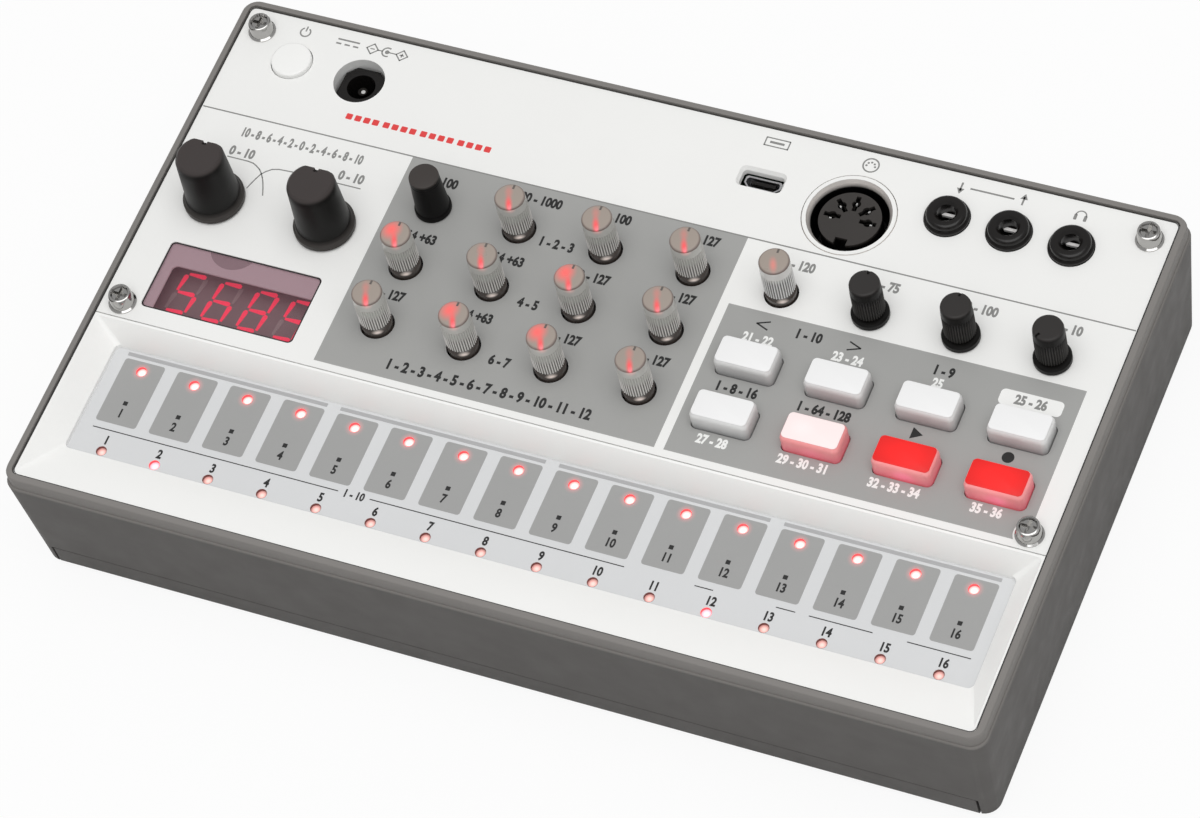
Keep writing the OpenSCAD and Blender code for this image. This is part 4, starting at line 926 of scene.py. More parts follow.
@dataclass
class PanelLegends(SubAssembly):
    """The figures, lines and signs printed on the panel.

    Attributes:
        tall: height of the figures.
        line: width of the signs' lines.
        thin: width of their thinnest lines.
    """

    tall: float = 1.95
    line: float = 0.3
    thin: float = 0.24

    def build(self) -> None:
        """Print every legend on the white panel, and then on the grey areas."""
        marks = Printer(self.shop, "legend", PANEL_Z)
        self._power(marks)
        self._signals(marks)
        self._tone(marks)
        self._steps(marks)
        marks.texts(Ink.GREY, self.tall, (("60 - 120", 29.6, 27.8), ("0 - 75", 47.3, 27.9),
                                          ("0 - 50 - 100", 63.8, 27.9), ("0 - 10", 82.5, 28.2)))
        marks.done()
        marks = Printer(self.shop, "area_legend", PANEL_Z + PRINT_T)
        self._rotary(marks)
        self._keys(marks)
        marks.done()

    def _power(self, marks: Printer) -> None:
        """Print the power sign, the direct current sign and the plug's polarity."""
        marks.arc(Ink.GREY, -81.8, 52.6, 1.0, self.line, 120.0, 300.0)
        marks.arc(Ink.GREY, -64.3, 52.4, 1.0, self.line, 60.0, 240.0)
        marks.dot(Ink.GREY, -64.3, 52.4, 0.45)
        for x in (-67.4, -61.2):
            marks.path(Ink.GREY, ((x - 1.2, 52.4), (x, 53.6), (x + 1.2, 52.4), (x, 51.2)), 0.26, closed=True)
            marks.bar(Ink.GREY, x, 52.4, 0.9, self.thin)
        marks.bars(Ink.GREY, (-81.8, 53.4, self.line, 1.2), (-72.6, 52.9, 4.6, 0.36),
                   *((x, 51.9, 1.1, 0.36) for x in (-74.4, -72.6, -70.8)), (-61.2, 52.4, self.thin, 0.9),
                   (-65.75, 52.4, 0.9, self.thin), (-63.2, 52.4, 1.5, self.thin))

    def _signals(self, marks: Printer) -> None:
        """Print the signs over the data, DIN, sync and headphone sockets."""
        marks.path(Ink.GREY, ((14.0, 51.6), (14.0, 53.4), (18.7, 53.4), (18.7, 51.6)), 0.26, closed=True)
        marks.bars(Ink.GREY, (16.35, 52.5, 2.9, 0.5), (59.05, 52.5, 8.6, 0.36))
        marks.arc(Ink.GREY, 35.1, 52.5, 1.5, self.line)
        for turn in map(math.radians, DIN_ANGLES):
            marks.dot(Ink.GREY, 35.1 + 0.85 * math.cos(turn), 52.3 + 0.85 * math.sin(turn), 0.22, 12)
        for x, tip, turn in ((53.0, -0.8, 180.0), (65.1, 0.8, 0.0)):
            marks.bar(Ink.GREY, x, 52.5, 0.36, 1.9)
            marks.dot(Ink.GREY, x, 52.5 + tip, 0.85, 3, turn)
        marks.arc(Ink.GREY, 76.4, 52.3, 1.0, 0.26, 0.0, 180.0)
        for x in (75.45, 77.35):
            marks.plate(Ink.GREY, x, 51.8, 0.6, 1.3, 0.2)

    def _tone(self, marks: Printer) -> None:
        """Print the figures and the two filter curves round the tone knobs."""
        marks.text(Ink.GREY, "10 - 8 - 6 - 4 - 2 - 0 - 2 - 4 - 6 - 8 - 10", -71.5, 27.6, self.tall, 0.6)
        marks.texts(Ink.GREY, self.tall, (("0 - 10", -82.2, 23.1), ("0 - 10", -59.3, 23.4)))
        fall = ((-84.6, 21.47), (-80.25, 21.45), (-79.1, 21.3), (-78.2, 20.88), (-77.3, 20.3),
                (-76.62, 19.57), (-76.0, 18.7), (-75.46, 17.77), (-74.8, 16.3), (-74.25, 14.92))
        rise = ((-77.92, 15.65), (-77.5, 17.0), (-77.09, 18.16), (-76.6, 19.3), (-75.88, 20.18),
                (-74.9, 20.95), (-73.63, 21.31), (-70.96, 21.45), (-56.6, 21.4))
        for curve in (fall, rise):
            marks.path(Ink.GREY, curve, self.thin)

    def _rotary(self, marks: Printer) -> None:
        """Print the ranges beside the rotary controls of the left area."""
        marks.texts(Ink.DARK, self.tall, (
            ("1 - 100", -41.9, 27.2), ("0 - 500 - 1000", -24.0, 28.3), ("0 - 100", -6.9, 28.5),
            ("0 - 127", 10.9, 28.4), ("-64 +63", -41.2, 14.3), ("-64 +63", -23.2, 14.2),
            ("0 - 127", -5.8, 14.8), ("0 - 127", 11.2, 15.1), ("0 - 127", -41.7, 0.8),
            ("-64 +63", -24.0, 0.8), ("0 - 127", -6.0, 0.8), ("0 - 127", 11.6, 1.0),
            ("1 - 2 - 3", -15.4, 19.8), ("4 - 5", -15.5, 6.0), ("6 - 7", -15.8, -7.3)))
        marks.text(Ink.DARK, "1 - 2 - 3 - 4 - 5 - 6 - 7 - 8 - 9 - 10 - 11 - 12", -15.5, -13.5, 2.1, 0.8)

    def _keys(self, marks: Printer) -> None:
        """Print the figures and signs round the keys."""
        for x, tip in ((29.5, -2.3), (45.2, 2.3)):
            marks.path(Ink.DARK, ((x, 14.6), (x + tip, 13.7), (x, 12.8)), self.line)
        marks.texts(Ink.DARK, self.tall, (("1 - 10", 37.4, 13.7), ("1 - 9", 63.8, 13.3),
                                          ("1 - 8 - 16", 28.8, -0.9), ("1 - 64 - 128", 45.8, -0.9)))
        marks.texts(Ink.WHITE, 1.85, (
            ("21 - 22", 28.6, 10.5), ("23 - 24", 46.0, 11.0), ("25", 63.6, 10.6), ("27 - 28", 28.5, -12.5),
            ("29 - 30 - 31", 46.1, -12.4), ("32 - 33 - 34", 63.6, -12.5), ("35 - 36", 81.1, -12.3)))
        marks.plate(Ink.WHITE, 81.2, 11.3, 12.0, 3.3, 0.9)
        plate = Printer(self.shop, "plate_legend", PANEL_Z + 2 * PRINT_T)
        plate.text(Ink.GREY, "25 - 26", 81.2, 11.3, 1.9)
        plate.done()
        marks.dot(Ink.DARK, 63.4, -0.7, 1.45, 3, -90.0)
        marks.dot(Ink.DARK, 81.1, -0.8, 1.15)

    def _steps(self, marks: Printer) -> None:
        """Print a row of sixteen red step squares over the left area."""
        for i in range(PADS):
            marks.plate(Ink.RED, -65.4 + 1.85 * i + 0.4 * (i // 4), 36.4, 1.3, 1.3, 0.2)


@dataclass
class TouchStrip(SubAssembly):
    """The white bezel, and under it the silver sheet with sixteen pads and two rows of lamps.

    Attributes:
        pitch: spacing of the pads and lamps.
        pad: width and depth of a pad.
        pad_y: middle of the pads.
        rear_y: place of the lamps at the pads.
        front_y: place of the lamps in front of the pads.
        bright: lamps of the front row that are lit.
        sunk: depth of the lamps' lenses in the sheet.
        lens_r: radius of a lens.
    """

    pitch: float = 11.05
    pad: Point = (8.35, 14.2)
    pad_y: float = -30.27
    rear_y: float = -25.275
    front_y: float = -43.475
    bright: tuple[int, ...] = (1, 11)
    sunk: float = 0.6
    lens_r: float = 1.03

    def build(self) -> None:
        """Dress the bezel and the sheet, print the sheet and light the lamps."""
        self.shop.stand_in("touch_bezel", BEZEL_WHITE)
        self.shop.stand_in("touch_sheet", SHEET_SILVER)
        self._pads()
        self._print()
        self._lamps()

    def _x(self, index: int) -> float:
        """Return a pad's middle from left to right."""
        return (index - 7.5) * self.pitch

    def _halo(self, colour: Colour, strength: float, y: float, wide: float, high: float) -> Glow:
        """Return a round glow at every lamp of a row.

        Args:
            colour: its colour.
            strength: its strength.
            y: place of the row.
            wide: its radius along the sheet.
            high: its reach up and down.
        """
        return Glow(colour, strength, (self._x(0), y, SHEET_Z), (wide, wide, high), (self.pitch, 0.0))

    def _pads(self) -> None:
        """Lay the grey pads with a red glow round their lamps."""
        halo = self._halo((255, 60, 70), 0.55, self.rear_y, 2.1, 1.0)
        finish = Finish("pad_grey", (156, 156, 155), 0.34, mottle=0.01, relief=0.002, glows=(halo,))
        with self.shop.piece("touch_pads", finish) as bm:
            for i in range(PADS):
                outline = rounded(self._x(i), self.pad_y, *self.pad, 0.6)
                face_print(bm, self.shop.nodes["touch_sheet"].data, SHEET_Z, outline)

    def _print(self) -> None:
        """Print the figures and thin lines on the sheet."""
        marks = Printer(self.shop, "strip", SHEET_Z + PRINT_T, bold=0.036)
        for i in range(PADS):
            marks.dot(Ink.DARK, self._x(i), -32.6, 0.62, 4, 45.0)
            marks.texts(Ink.DARK, 1.8, ((str(i + 1), self._x(i), y) for y in (-34.8, -41.0)))
        for first in range(0, PADS, 4):
            x = (self._x(first) + self._x(first + 3)) / 2
            marks.bar(Ink.PALE, x, -22.2, 3 * self.pitch + self.pad[0], 0.75)
        for left, right in ((-86.8, -36.1), (-29.7, 20.9), (34.6, 38.2), (50.3, 54.0), (56.6, 68.7),
                            (75.2, 87.2)):
            marks.bar(Ink.DARK, (left + right) / 2, -38.86, right - left, 0.18)
        marks.text(Ink.DARK, "1 - 10", -32.9, -38.86, 1.6)
        marks.done()

    def _lamps(self) -> None:
        """Set a lens into each lamp hole: bright over the pads, mostly dim in front."""
        rear, front = self.rear_y, self.front_y
        lit = Finish("lamp_lit", (255, 150, 146), 0.3, glows=(
            self._halo((255, 226, 220), 1.5, rear, 1.5, 4.0), self._halo((255, 40, 50), 0.7, rear, 2.4, 6.0)))
        dim = Finish("lamp_dim", (214, 150, 144), 0.3, glows=(
            self._halo((255, 214, 205), 0.9, front, 1.15, 4.0),))
        hot = Finish("lamp_hot", (255, 150, 160), 0.3, glows=(
            self._halo((255, 190, 200), 1.7, front, 1.6, 5.0),))
        dull = [i for i in range(PADS) if i not in self.bright]
        for name, finish, y, picked in (("rear", lit, rear, range(PADS)), ("front", dim, front, dull),
                                        ("bright", hot, front, self.bright)):
            with self.shop.piece(f"lamps_{name}", finish) as bm:
                for i in picked:
                    disc(bm, at(self._x(i), y, SHEET_Z - self.sunk - 0.2), self.lens_r, 0.4, 24)
            with self.shop.piece(f"lamp_sleeves_{name}", self._sleeve(name, y)) as bm:
                for i in picked:
                    ring(bm, at(self._x(i), y, SHEET_Z - self.sunk / 2), 1.02, 0.05, self.sunk)
        self.shop.dress(LAMP_BODY, "step_lamps", "panel_lamps")

    def _sleeve(self, name: str, y: float) -> Finish:
        """Return the finish of the wall of a row's lamp holes, whose red tint and glow are painted light from
        the lamps.
        """
        if name == "front":
            return Finish("sleeve_dim", (122, 74, 70), 0.45)
        return Finish(f"sleeve_{name}", (236, 90, 96), 0.45, glows=(
            self._halo((255, 50, 60), 0.6, y, 2.4, 6.0),))


@dataclass
class Display(SubAssembly):
    """The tinted window and the four figures behind it.

    Attributes:
        shown: the four figures.
        lefts: left end of each figure at its foot.
        foot: place of the lowest strokes.
        tall: distance from the lowest to the highest stroke.
        wide: distance between the upright strokes.
        lean: how far the top leans to the right.
        face_z: height of the module's face.
        pane: left, right, front and rear edge of the window's pane.
        pane_sunk: depth of its face below the panel.
        pane_t: its thickness.
        corner: radius of its corners.
        edge_w: width of its dark edge.
        mask: left and rear edge of the opening in the pale mask under the pane.
        mask_t: thickness of the mask.
        nook_r: radius of the opening's corner.
        mark: place and radius of a darker round painted reflection of a knob on the mask.
        stroke_w: width of a stroke.
        tip: distance of a stroke's straight edges from its ends.
        strokes: the strokes of each figure.
    """

    shown: str = "5689"
    lefts: tuple[float, ...] = (-84.6, -77.1, -69.6, -62.1)
    foot: float = -11.0
    tall: float = 8.6
    wide: float = 4.1
    lean: float = 1.15
    face_z: float = 26.0
    pane: Sides = (-86.75, -55.25, -14.55, 0.55)
    pane_sunk: float = 0.12
    pane_t: float = 0.3
    corner: float = 0.9
    edge_w: float = 0.26
    mask: Point = (-84.5, -4.07)
    mask_t: float = 0.4
    nook_r: float = 1.1
    mark: Place = (-74.4, 2.64, 4.92)
    stroke_w: float = 1.0
    tip: float = 0.75
    strokes: dict[str, str] = field(default_factory=lambda: {
        "5": "afgcd", "6": "afgcde", "8": "abcdefg", "9": "abcdfg"})

    def build(self) -> None:
        """Set the window in, and the strokes on the module."""
        self._window()
        self.shop.dress(MODULE_FACE, "display_module")
        self._surround()
        lit = Finish("stroke_lit", (224, 52, 80), 0.3, glows=(self._even((255, 50, 84), 0.62),))
        for name, finish, on in (("strokes_lit", lit, True), ("strokes_unlit", STROKE_UNLIT, False)):
            with self.shop.piece(name, finish) as bm:
                for left, figure in zip(self.lefts, self.shown):
                    for stroke in "abcdefg":
                        if (stroke in self.strokes[figure]) == on:
                            self._stroke(bm, left, stroke)

    def _even(self, colour: Colour, strength: float) -> Glow:
        """Return a glow that is even over the whole display."""
        return Glow(colour, strength, (-71.0, -7.0, self.face_z), (FAR, FAR, FAR))

    def _window(self) -> None:
        """Set the tinted pane nearly flush with the panel, with its dark edge."""
        left, right, front, rear = self.pane
        place = ((left + right) / 2, (front + rear) / 2)
        wide, deep = right - left, rear - front
        bm = bmesh.new()
        tablet(bm, at(*place, PANEL_Z - self.pane_sunk - self.pane_t / 2), (wide, deep, self.pane_t),
               self.corner)
        pane = self.shop.add("window_pane", bm, WINDOW_TINT)
        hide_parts("display_window")
        edge = Printer(self.shop, "window_edge", PANEL_Z - self.pane_sunk)
        outline = rounded(*place, wide - self.edge_w, deep - self.edge_w, self.corner)
        edge.path(Ink.DARK, outline, self.edge_w, closed=True)
        edge.done()

    def _surround(self) -> None:
        """Lay the pale mask under the pane, lifted by painted fill light against the shade of its recess,
        with a darker round painted reflection of a knob that the pane's rear edge cuts.
        """
        left, right, front, rear = self.pane
        inner_left, inner_rear = self.mask
        z = PANEL_Z - self.pane_sunk - self.pane_t - 0.1
        # Painted fill light that cancels the shade the panel casts into the recess.
        painted_fill_light = (self._even((160, 138, 144), 0.42),)
        with self.shop.piece("display_spacer", Finish("spacer_mauve", (166, 142, 149), 0.6,
                                                      glows=painted_fill_light)) as bm:
            bmesh.ops.create_grid(bm, x_segments=2, y_segments=2, size=1.0)
            across = {-1: left, 0: inner_left, 1: right}
            along = {-1: front, 0: inner_rear, 1: rear}
            for vert in bm.verts:
                vert.co = Vector((across[round(vert.co.x)], along[round(vert.co.y)], z)) * MM
            hole = [f for f in bm.faces if f.calc_center_median().x > inner_left * MM
                    and f.calc_center_median().y < inner_rear * MM]
            bmesh.ops.delete(bm, geom=hole, context="FACES")
            thicken(bm, -self.mask_t)
            nook = [e for e in bm.edges if all(abs(v.co.x - inner_left * MM) < NEAR
                                               and abs(v.co.y - inner_rear * MM) < NEAR for v in e.verts)]
            soften(bm, nook, self.nook_r, 5)
        # A darker round patch of painted reflection of a knob in the pane.
        x, y, radius = self.mark
        with self.shop.piece("display_knob_reflection", Finish("knob_reflection_mauve", (104, 84, 90), 0.6, glows=painted_fill_light)) as bm:
            disc(bm, at(x, y, z + 0.02), radius, 0.04, 48)
            slice_off(bm, 0.0, rear, (0, 1))
            bmesh.ops.holes_fill(bm, edges=bm.edges, sides=0)

    def _stroke(self, bm: BMesh, left: float, stroke: str) -> None:
        """Add one pointed stroke of a figure.

        Args:
            bm: the mesh that it goes into.
            left: left end of the figure at its foot.
            stroke: a letter from a to g, as on a seven-part figure.
        """
        low, middle, high = 0.0, self.tall / 2, self.tall
        ends = {"a": ((0, high), (1, high)), "b": ((1, middle), (1, high)), "c": ((1, low), (1, middle)),
                "d": ((0, low), (1, low)), "e": ((0, low), (0, middle)), "f": ((0, middle), (0, high)),
                "g": ((0, middle), (1, middle))}[stroke]
        (x0, y0), (x1, y1) = ((left + side * self.wide + self.lean * up / self.tall, self.foot + up)
                              for side, up in ends)
        half = math.hypot(x1 - x0, y1 - y0) / 2 - self.tip
        bar = disc(bm, Matrix(), self.stroke_w / 2, 0.08, 6)
        for vert in bar:
            vert.co.x += math.copysign(half * MM, vert.co.x)
        turn = math.degrees(math.atan2(y1 - y0, x1 - x0))
        place = at((x0 + x1) / 2, (y0 + y1) / 2, self.face_z + 0.02, turn)
        bmesh.ops.transform(bm, verts=bar, matrix=place)


@dataclass
class Keys(SubAssembly):
    """The eight silicone keys with painted tops, some lit from below.

    Attributes:
        names: the keys from left to right, rear row first.
        lit: the keys whose lamps are on.
        warm: the key that takes a little light from its lamp.
        top: height of the painted tops.
        cap: width, depth and height of a painted top.
    """

    names: tuple[str, ...] = ("reverse_key", "effect_key", "solo_key", "shift_key", "memory_key",
                              "step_key", "play_key", "record_key")
    lit: tuple[str, ...] = ("play_key", "record_key")
    warm: str = "step_key"
    top: float = PANEL_Z + 4.0
    cap: Place = (10.75, 5.5, 0.1)

    def build(self) -> None:
        """Dress each key and paint its top."""
        for i, name in enumerate(self.names):
            x, y = COLUMNS[4 + i % 4], KEY_ROWS[i // 4]
            self.shop.stand_in(name, self._rubber(name, x, y), 50.0)
            with self.shop.piece(f"{name}_top", self._paint(name, x, y), self.shop.body_of[name]) as bm:
                tablet(bm, at(x, y, self.top), self.cap, 0.85, 0.04)

    def _rubber(self, name: str, x: float, y: float) -> Finish:
        """Return the finish of the translucent sides of the key at (x, y), painted darker towards the bottom
        as shade, and on lit keys tinted with their lamp's light.
        """
        if name not in (*self.lit, self.warm):
            return Finish("plain_key_rubber", (222, 222, 221), 0.42, mottle=0.01, milky=0.15,
                          height_shading=HeightShading((160, 160, 160), PANEL_Z - 0.5, PANEL_Z + 3.4))
        force = 0.32 if name in self.lit else 0.12
        glow = Glow((255, 84, 92), force, (x, y, PANEL_Z + 2), (9.0, 6.0, 6.0))
        pink = Glow((255, 80, 180), force / 2, (x + 0.6, y - 3.1, PANEL_Z + 1.5), (3.2, 1.0, 2.2))
        return Finish(f"{name}_rubber", (246, 160, 160), 0.42, mottle=0.01, milky=0.15,
                      height_shading=HeightShading((244, 132, 144), PANEL_Z, self.top), glows=(glow, pink))

    def _paint(self, name: str, x: float, y: float) -> Finish:
        """Return the finish of the painted top of the key at (x, y), red over a lit lamp."""
        if name in self.lit:
            return Finish(f"key_red_{x:.0f}", (208, 20, 18), 0.42, mottle=0.01, glows=(
                Glow((255, 16, 12), 0.4, (x, y, self.top), (11.0, 7.0, 5.0)),))
        if name == self.warm:
            return Finish("key_warm", (252, 236, 235), 0.42, mottle=0.01, glows=(
                Glow((255, 150, 150), 0.14, (x - 2.2, y, self.top), (3.2, 2.6, 3.0)),))
        return KEY_PAINT


@dataclass
class RotaryKnobs(SubAssembly):
    """The lit shafts, the black shafts, the encoder and the two tall tone knobs.

    Attributes:
        lit: name, column and row of each lit shaft.
        strong: the shafts whose caps are filled with light.
        black: names of the black shafts.
        tall: height of the small shafts over the panel.
        top_r: radius of the lit shafts at the top.
        edge: height of the caps.
        rib_r: distances of a groove's foot and of a rib's crest from the axis.
        rib_z: heights of the ribs' ends over the panel.
        slant: angle of the streaks of light.
    """

    lit: tuple[tuple[str, int, int], ...] = (
        ("start", 1, 0), ("length", 2, 0), ("cutoff", 3, 0), ("speed", 0, 1), ("pitch", 1, 1),
        ("pitch_attack", 2, 1), ("pitch_decay", 3, 1), ("level", 0, 2), ("pan", 1, 2),
        ("amp_attack", 2, 2), ("amp_decay", 3, 2), ("tempo", 4, 0))
    strong: tuple[str, ...] = ("speed", "pan", "amp_attack", "pitch_attack")
    black: tuple[str, ...] = ("swing", "reverb", "volume")
    tall: float = 10.6
    top_r: float = 2.9
    edge: float = 0.4
    rib_r: Point = (2.8, 2.97)
    rib_z: Point = (2.4, 8.3)
    slant: float = 24.0

    def build(self) -> None:
        """Dress every knob and set the tops on."""
        for name, column, row in self.lit:
            knob = f"{name}_knob"
            shaft, cap = self._tempo() if name == "tempo" else self._clear(name in self.strong)
            self.shop.stand_in(knob, shaft, 24.0)
            self._top(knob, COLUMNS[column], ROWS[row], cap)
        for name in self.black:
            self.shop.stand_in(f"{name}_knob", self._black(), 24.0)
        self.shop.stand_in("encoder_knob", ENCODER_BLACK, 24.0)
        for name in ("low_tone_knob", "high_tone_knob"):
            self.shop.stand_in(name, TONE_BLACK, 30.0)

    def _grid(self) -> tuple[Point, Point]:
        """Return the first clear shaft's place and the spacing of them all."""
        return (COLUMNS[0], ROWS[0]), (COLUMNS[1] - COLUMNS[0], ROWS[0] - ROWS[1])

    def _patch(self, colour: Colour, strength: float, aside: Place, reach: Place, turn: float = 0.0,
               painted_share: float = 0.0) -> Glow:
        """Return a patch of light on every clear shaft.

        Args:
            colour: its colour.
            strength: its brightness.
            aside: its place along X and Y from the shaft's axis, and its height over the panel.
            reach: its half sizes.
            turn: its angle.
            painted_share: share by which the light is also painted into the surface's colour.
        """
        (x, y), pitch = self._grid()
        centre = (x + aside[0], y + aside[1], PANEL_Z + aside[2])
        return Glow(colour, strength, centre, reach, pitch, turn, painted_share)

    def _glint(self) -> Glow:
        """Return the pale gloss at the foot of a clear shaft, on the side of the player."""
        return self._patch((226, 212, 204), 0.3, (1.5, -2.6, 1.35), (1.5, 0.9, 0.6), self.slant, 0.8)

    def _cap_rim_shade(self) -> RadialShading:
        """Return the painted shade in a darker ring round the edge of a cap."""
        top = PANEL_Z + self.tall + 0.1
        return RadialShading((158, 147, 138), (122, 110, 104), *self._grid(), self.top_r - 0.42, self.top_r - 0.1,
                      top - 0.6, top, top)

    def _ribs(self, dark: Colour, pale: Colour, soft: float) -> RadialShading:
        """Return the painted shade in the grooves and painted highlights on the crests of a small shaft's
        ribs, whose contrast fades from soft over the panel.
        """
        low, top = self.rib_z
        return RadialShading(dark, pale, *self._grid(), *self.rib_r, PANEL_Z + low, PANEL_Z + soft, PANEL_Z + top)

    def _shaft(self, name: str, colour: Colour, pale: Colour, soft: float, *glows: Glow) -> Finish:
        """Return the finish of a clear shaft, painted dark at its foot as shade in the panel hole.

        Args:
            name: name of the finish.
            colour: colour of the upper part.
            pale: colour of the ribs' crests, a painted highlight.
            soft: height over the panel from which the ribs' contrast fades.
            glows: patches of light on it.
        """
        return Finish(name, colour, 0.18, clear=0.18, relief=0.002,
                      height_shading=HeightShading((72, 64, 60), PANEL_Z + 1.5, PANEL_Z + 2.5),
                      groove=self._ribs((36, 32, 30), pale, soft), glows=glows)

    def _black(self) -> Finish:
        """Return the finish of a black shaft, with a top painted lighter than its near-black sides as painted
        light, and painted highlights and shade on its ribs.
        """
        return Finish("shaft_black", (52, 50, 49), 0.4, mottle=0.04, grain=0.25, relief=0.006, shine=0.14,
                      height_shading=HeightShading((16, 15, 14), PANEL_Z + 9.9, PANEL_Z + 10.5),
                      groove=self._ribs((8, 8, 7), (52, 50, 48), 6.4))

    def _cap(self, name: str, colour: Colour, *glows: Glow) -> Finish:
        """Return the finish of a lit shaft's cap."""
        return Finish(name, colour, 0.3, mottle=0.03, groove=self._cap_rim_shade(), glows=glows)

    def _clear(self, strong: bool) -> tuple[Finish, Finish]:
        """Return the finishes of a clear shaft and of its cap over a lit lamp.

        Args:
            strong: whether the lamp's light fills the cap.
        """
        top, slant = self.tall, self.slant
        name = "strong" if strong else "clear"
        streak = self._patch((236, 82, 86), 0.2, (0.5, -1.6, top), (0.92, 2.6, 0.8), slant, 0.95)
        core = self._patch((255, 120, 134), 0.22, (0.95, -2.3, top), (0.55, 1.1, 0.8), slant, 0.5)
        blush = self._patch((236, 112, 106), 0.03, (-0.5, 0.9, top), (1.1, 2.0, 0.8), slant, 0.35)
        if strong:
            blush = self._patch((250, 92, 90), 0.2, (-1.0, 0.6, top), (2.5, 2.9, 0.8), 0.0, 0.8)
        rim = self._patch((255, 110, 104), 0.26, (1.2, -2.7, top - 0.2), (1.5, 1.2, 1.4))
        return (self._shaft(f"{name}_shaft", (204, 203, 198), (255, 252, 248), 4.8, self._glint(), rim),
                self._cap(f"{name}_cap", (158, 147, 138), blush, streak, core))

    def _tempo(self) -> tuple[Finish, Finish]:
        """Return the finishes of the tempo shaft and of its cap, whose lamp is dim."""
        streak = self._patch((240, 120, 112), 0.1, (0.2, -0.9, self.tall), (1.0, 2.4, 0.8), self.slant, 0.5)
        return (self._shaft("tempo_shaft", (236, 235, 232), (255, 255, 254), 6.6, self._glint()),
                self._cap("tempo_cap", (150, 146, 142), streak))

    def _top(self, knob: str, x: float, y: float, finish: Finish) -> None:
        """Set the cap on a lit shaft, with a darker plate of painted shade in its pointer notch.

        Args:
            knob: the knob's CAD node.
            x: its place from left to right.
            y: its place from front to back.
            finish: the cap's finish.
        """
        body = self.shop.body_of[knob]
        z = PANEL_Z + self.tall
        with self.shop.piece(f"{knob}_cap", finish, body, 60.0) as bm:
            disc(bm, at(x, y, z - self.edge / 2 + 0.01), self.top_r + 0.01, self.edge + 0.02, 48)
            soften(bm, edges_above(bm, z), self.edge * 0.85, 4)
        with self.shop.piece(f"{knob}_notch", NOTCH_SHADE, body) as bm:
            block(bm, at(x, y + self.top_r - 0.7, z + 0.01), (0.4, 0.85, 0.08))


@dataclass
class Sockets(SubAssembly):
    """The sockets along the rear edge, with their contacts.

    Attributes:
        dc: middle of the DC socket.
        usb: middle of the data socket.
        din: middle of the DIN socket.
        jacks: place from left to right and name of each jack socket.
        jack_y: their place from front to back.
        button_r: radius of the power button's top.
        flange_r: radius of the middle of the white flange round the DIN socket.
        flange_w: width of that flange.
        slot_r: distance of the DIN contacts from its middle.
        slot_z: their height.
        spring: length, width and height of a DIN contact.
        pin_r: radius of the DC socket's pin.
        pin_t: length of that pin.
        pin_z: its middle.
        tongue: width, depth and height of the data socket's tongue.
        leaf: width, depth and height of the contact seen in a jack socket.
    """

    dc: Point = (-66.9, 44.65)
    usb: Point = (16.35, 44.05)
    din: Point = (35.1, 40.85)
    jacks: tuple[tuple[float, str], ...] = ((52.8, "sync_in"), (64.88, "sync_out"), (76.96, "phones"))
    jack_y: float = 45.25
    button_r: float = 3.95
    flange_r: float = 8.48
    flange_w: float = 0.76
    slot_r: float = 3.5
    slot_z: float = PANEL_Z - 2.6
    spring: Place = (3.0, 0.62, 0.3)
    pin_r: float = 0.92
    pin_t: float = 3.9
    pin_z: float = PANEL_Z - 5.42
    tongue: Place = (4.9, 0.72, 1.2)
    leaf: Place = (2.7, 0.62, 0.55)

    def build(self) -> None:
        """Dress the sockets and put their contacts in."""
        shop = self.shop
        shop.stand_in("dc_socket", SOCKET_BLACK)
        shop.stand_in("usb_socket", STEEL)
        shop.stand_in("midi_shell", SHELL_NICKEL, 40.0)
        shop.stand_in("midi_insert", INSERT_BLACK)
        with shop.piece("din_flange", PANEL_WHITE) as bm:
            ring(bm, at(*self.din, PANEL_Z + 0.01), self.flange_r, self.flange_w, 0.08)
        self._power_button()
        with shop.piece("dc_pin", CONTACT_SHADED) as bm:
            disc(bm, at(*self.dc, self.pin_z), self.pin_r, self.pin_t, 24)
        with shop.piece("dc_pin_glint", CONTACT_GLINT) as bm:
            tip_z = self.pin_z + self.pin_t / 2 + 0.03
            disc(bm, at(self.dc[0] + 0.2, self.dc[1] - 0.1, tip_z), 0.42, 0.1, 20)
        with shop.piece("usb_tongue", SOCKET_BLACK) as bm:
            block(bm, at(self.usb[0], self.usb[1] + 0.35, PANEL_Z - 2.9), self.tongue)
        self._din_contacts()
        for x, name in self.jacks:
            shop.stand_in(f"{name}_socket", SOCKET_BLACK)
            with shop.piece(f"{name}_contact", CONTACT_GLEAM) as bm:
                tablet(bm, at(x - 0.2, self.jack_y + 1.2, PANEL_Z - 1.2), self.leaf, 0.18)

    def _power_button(self) -> None:
        """Dress the power button and give it a slightly domed top."""
        self.shop.stand_in("power_button", BUTTON_WHITE)
        lo, hi = (Vector(corner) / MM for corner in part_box("power_button"))
        middle = (lo + hi) / 2
        body = self.shop.body_of["power_button"]
        with self.shop.piece("power_button_top", BUTTON_WHITE, body, 50.0) as bm:
            disc(bm, at(middle.x, middle.y, hi.z), self.button_r, 0.8, 64)
            soften(bm, edges_above(bm, hi.z), 0.38, 5)

    def _din_contacts(self) -> None:
        """Set a spring contact into each of the five slots, painted dark as shade deep in the slot, with a
        small painted glint on each.
        """
        places = [at(*self.din, self.slot_z, angle) @ at(self.slot_r, 0.0, 0.0) for angle in DIN_ANGLES]
        with self.shop.piece("din_contacts", CONTACT_SHADED) as bm:
            for place in places:
                block(bm, place, self.spring)
                disc(bm, place, 0.74, self.spring[2], 16)
        with self.shop.piece("din_contact_glints", CONTACT_GLINT) as bm:
            for place in places:
                tablet(bm, place @ at(0.45, 0.2, 0.3), (0.5, 0.26, 0.5), 0.1)


@dataclass
class Fasteners(SubAssembly):
    """The raised panel screws."""

    def build(self) -> None:
        """Dress the screws."""
        self.shop.stand_in("panel_screws", CHROME, 28.0)


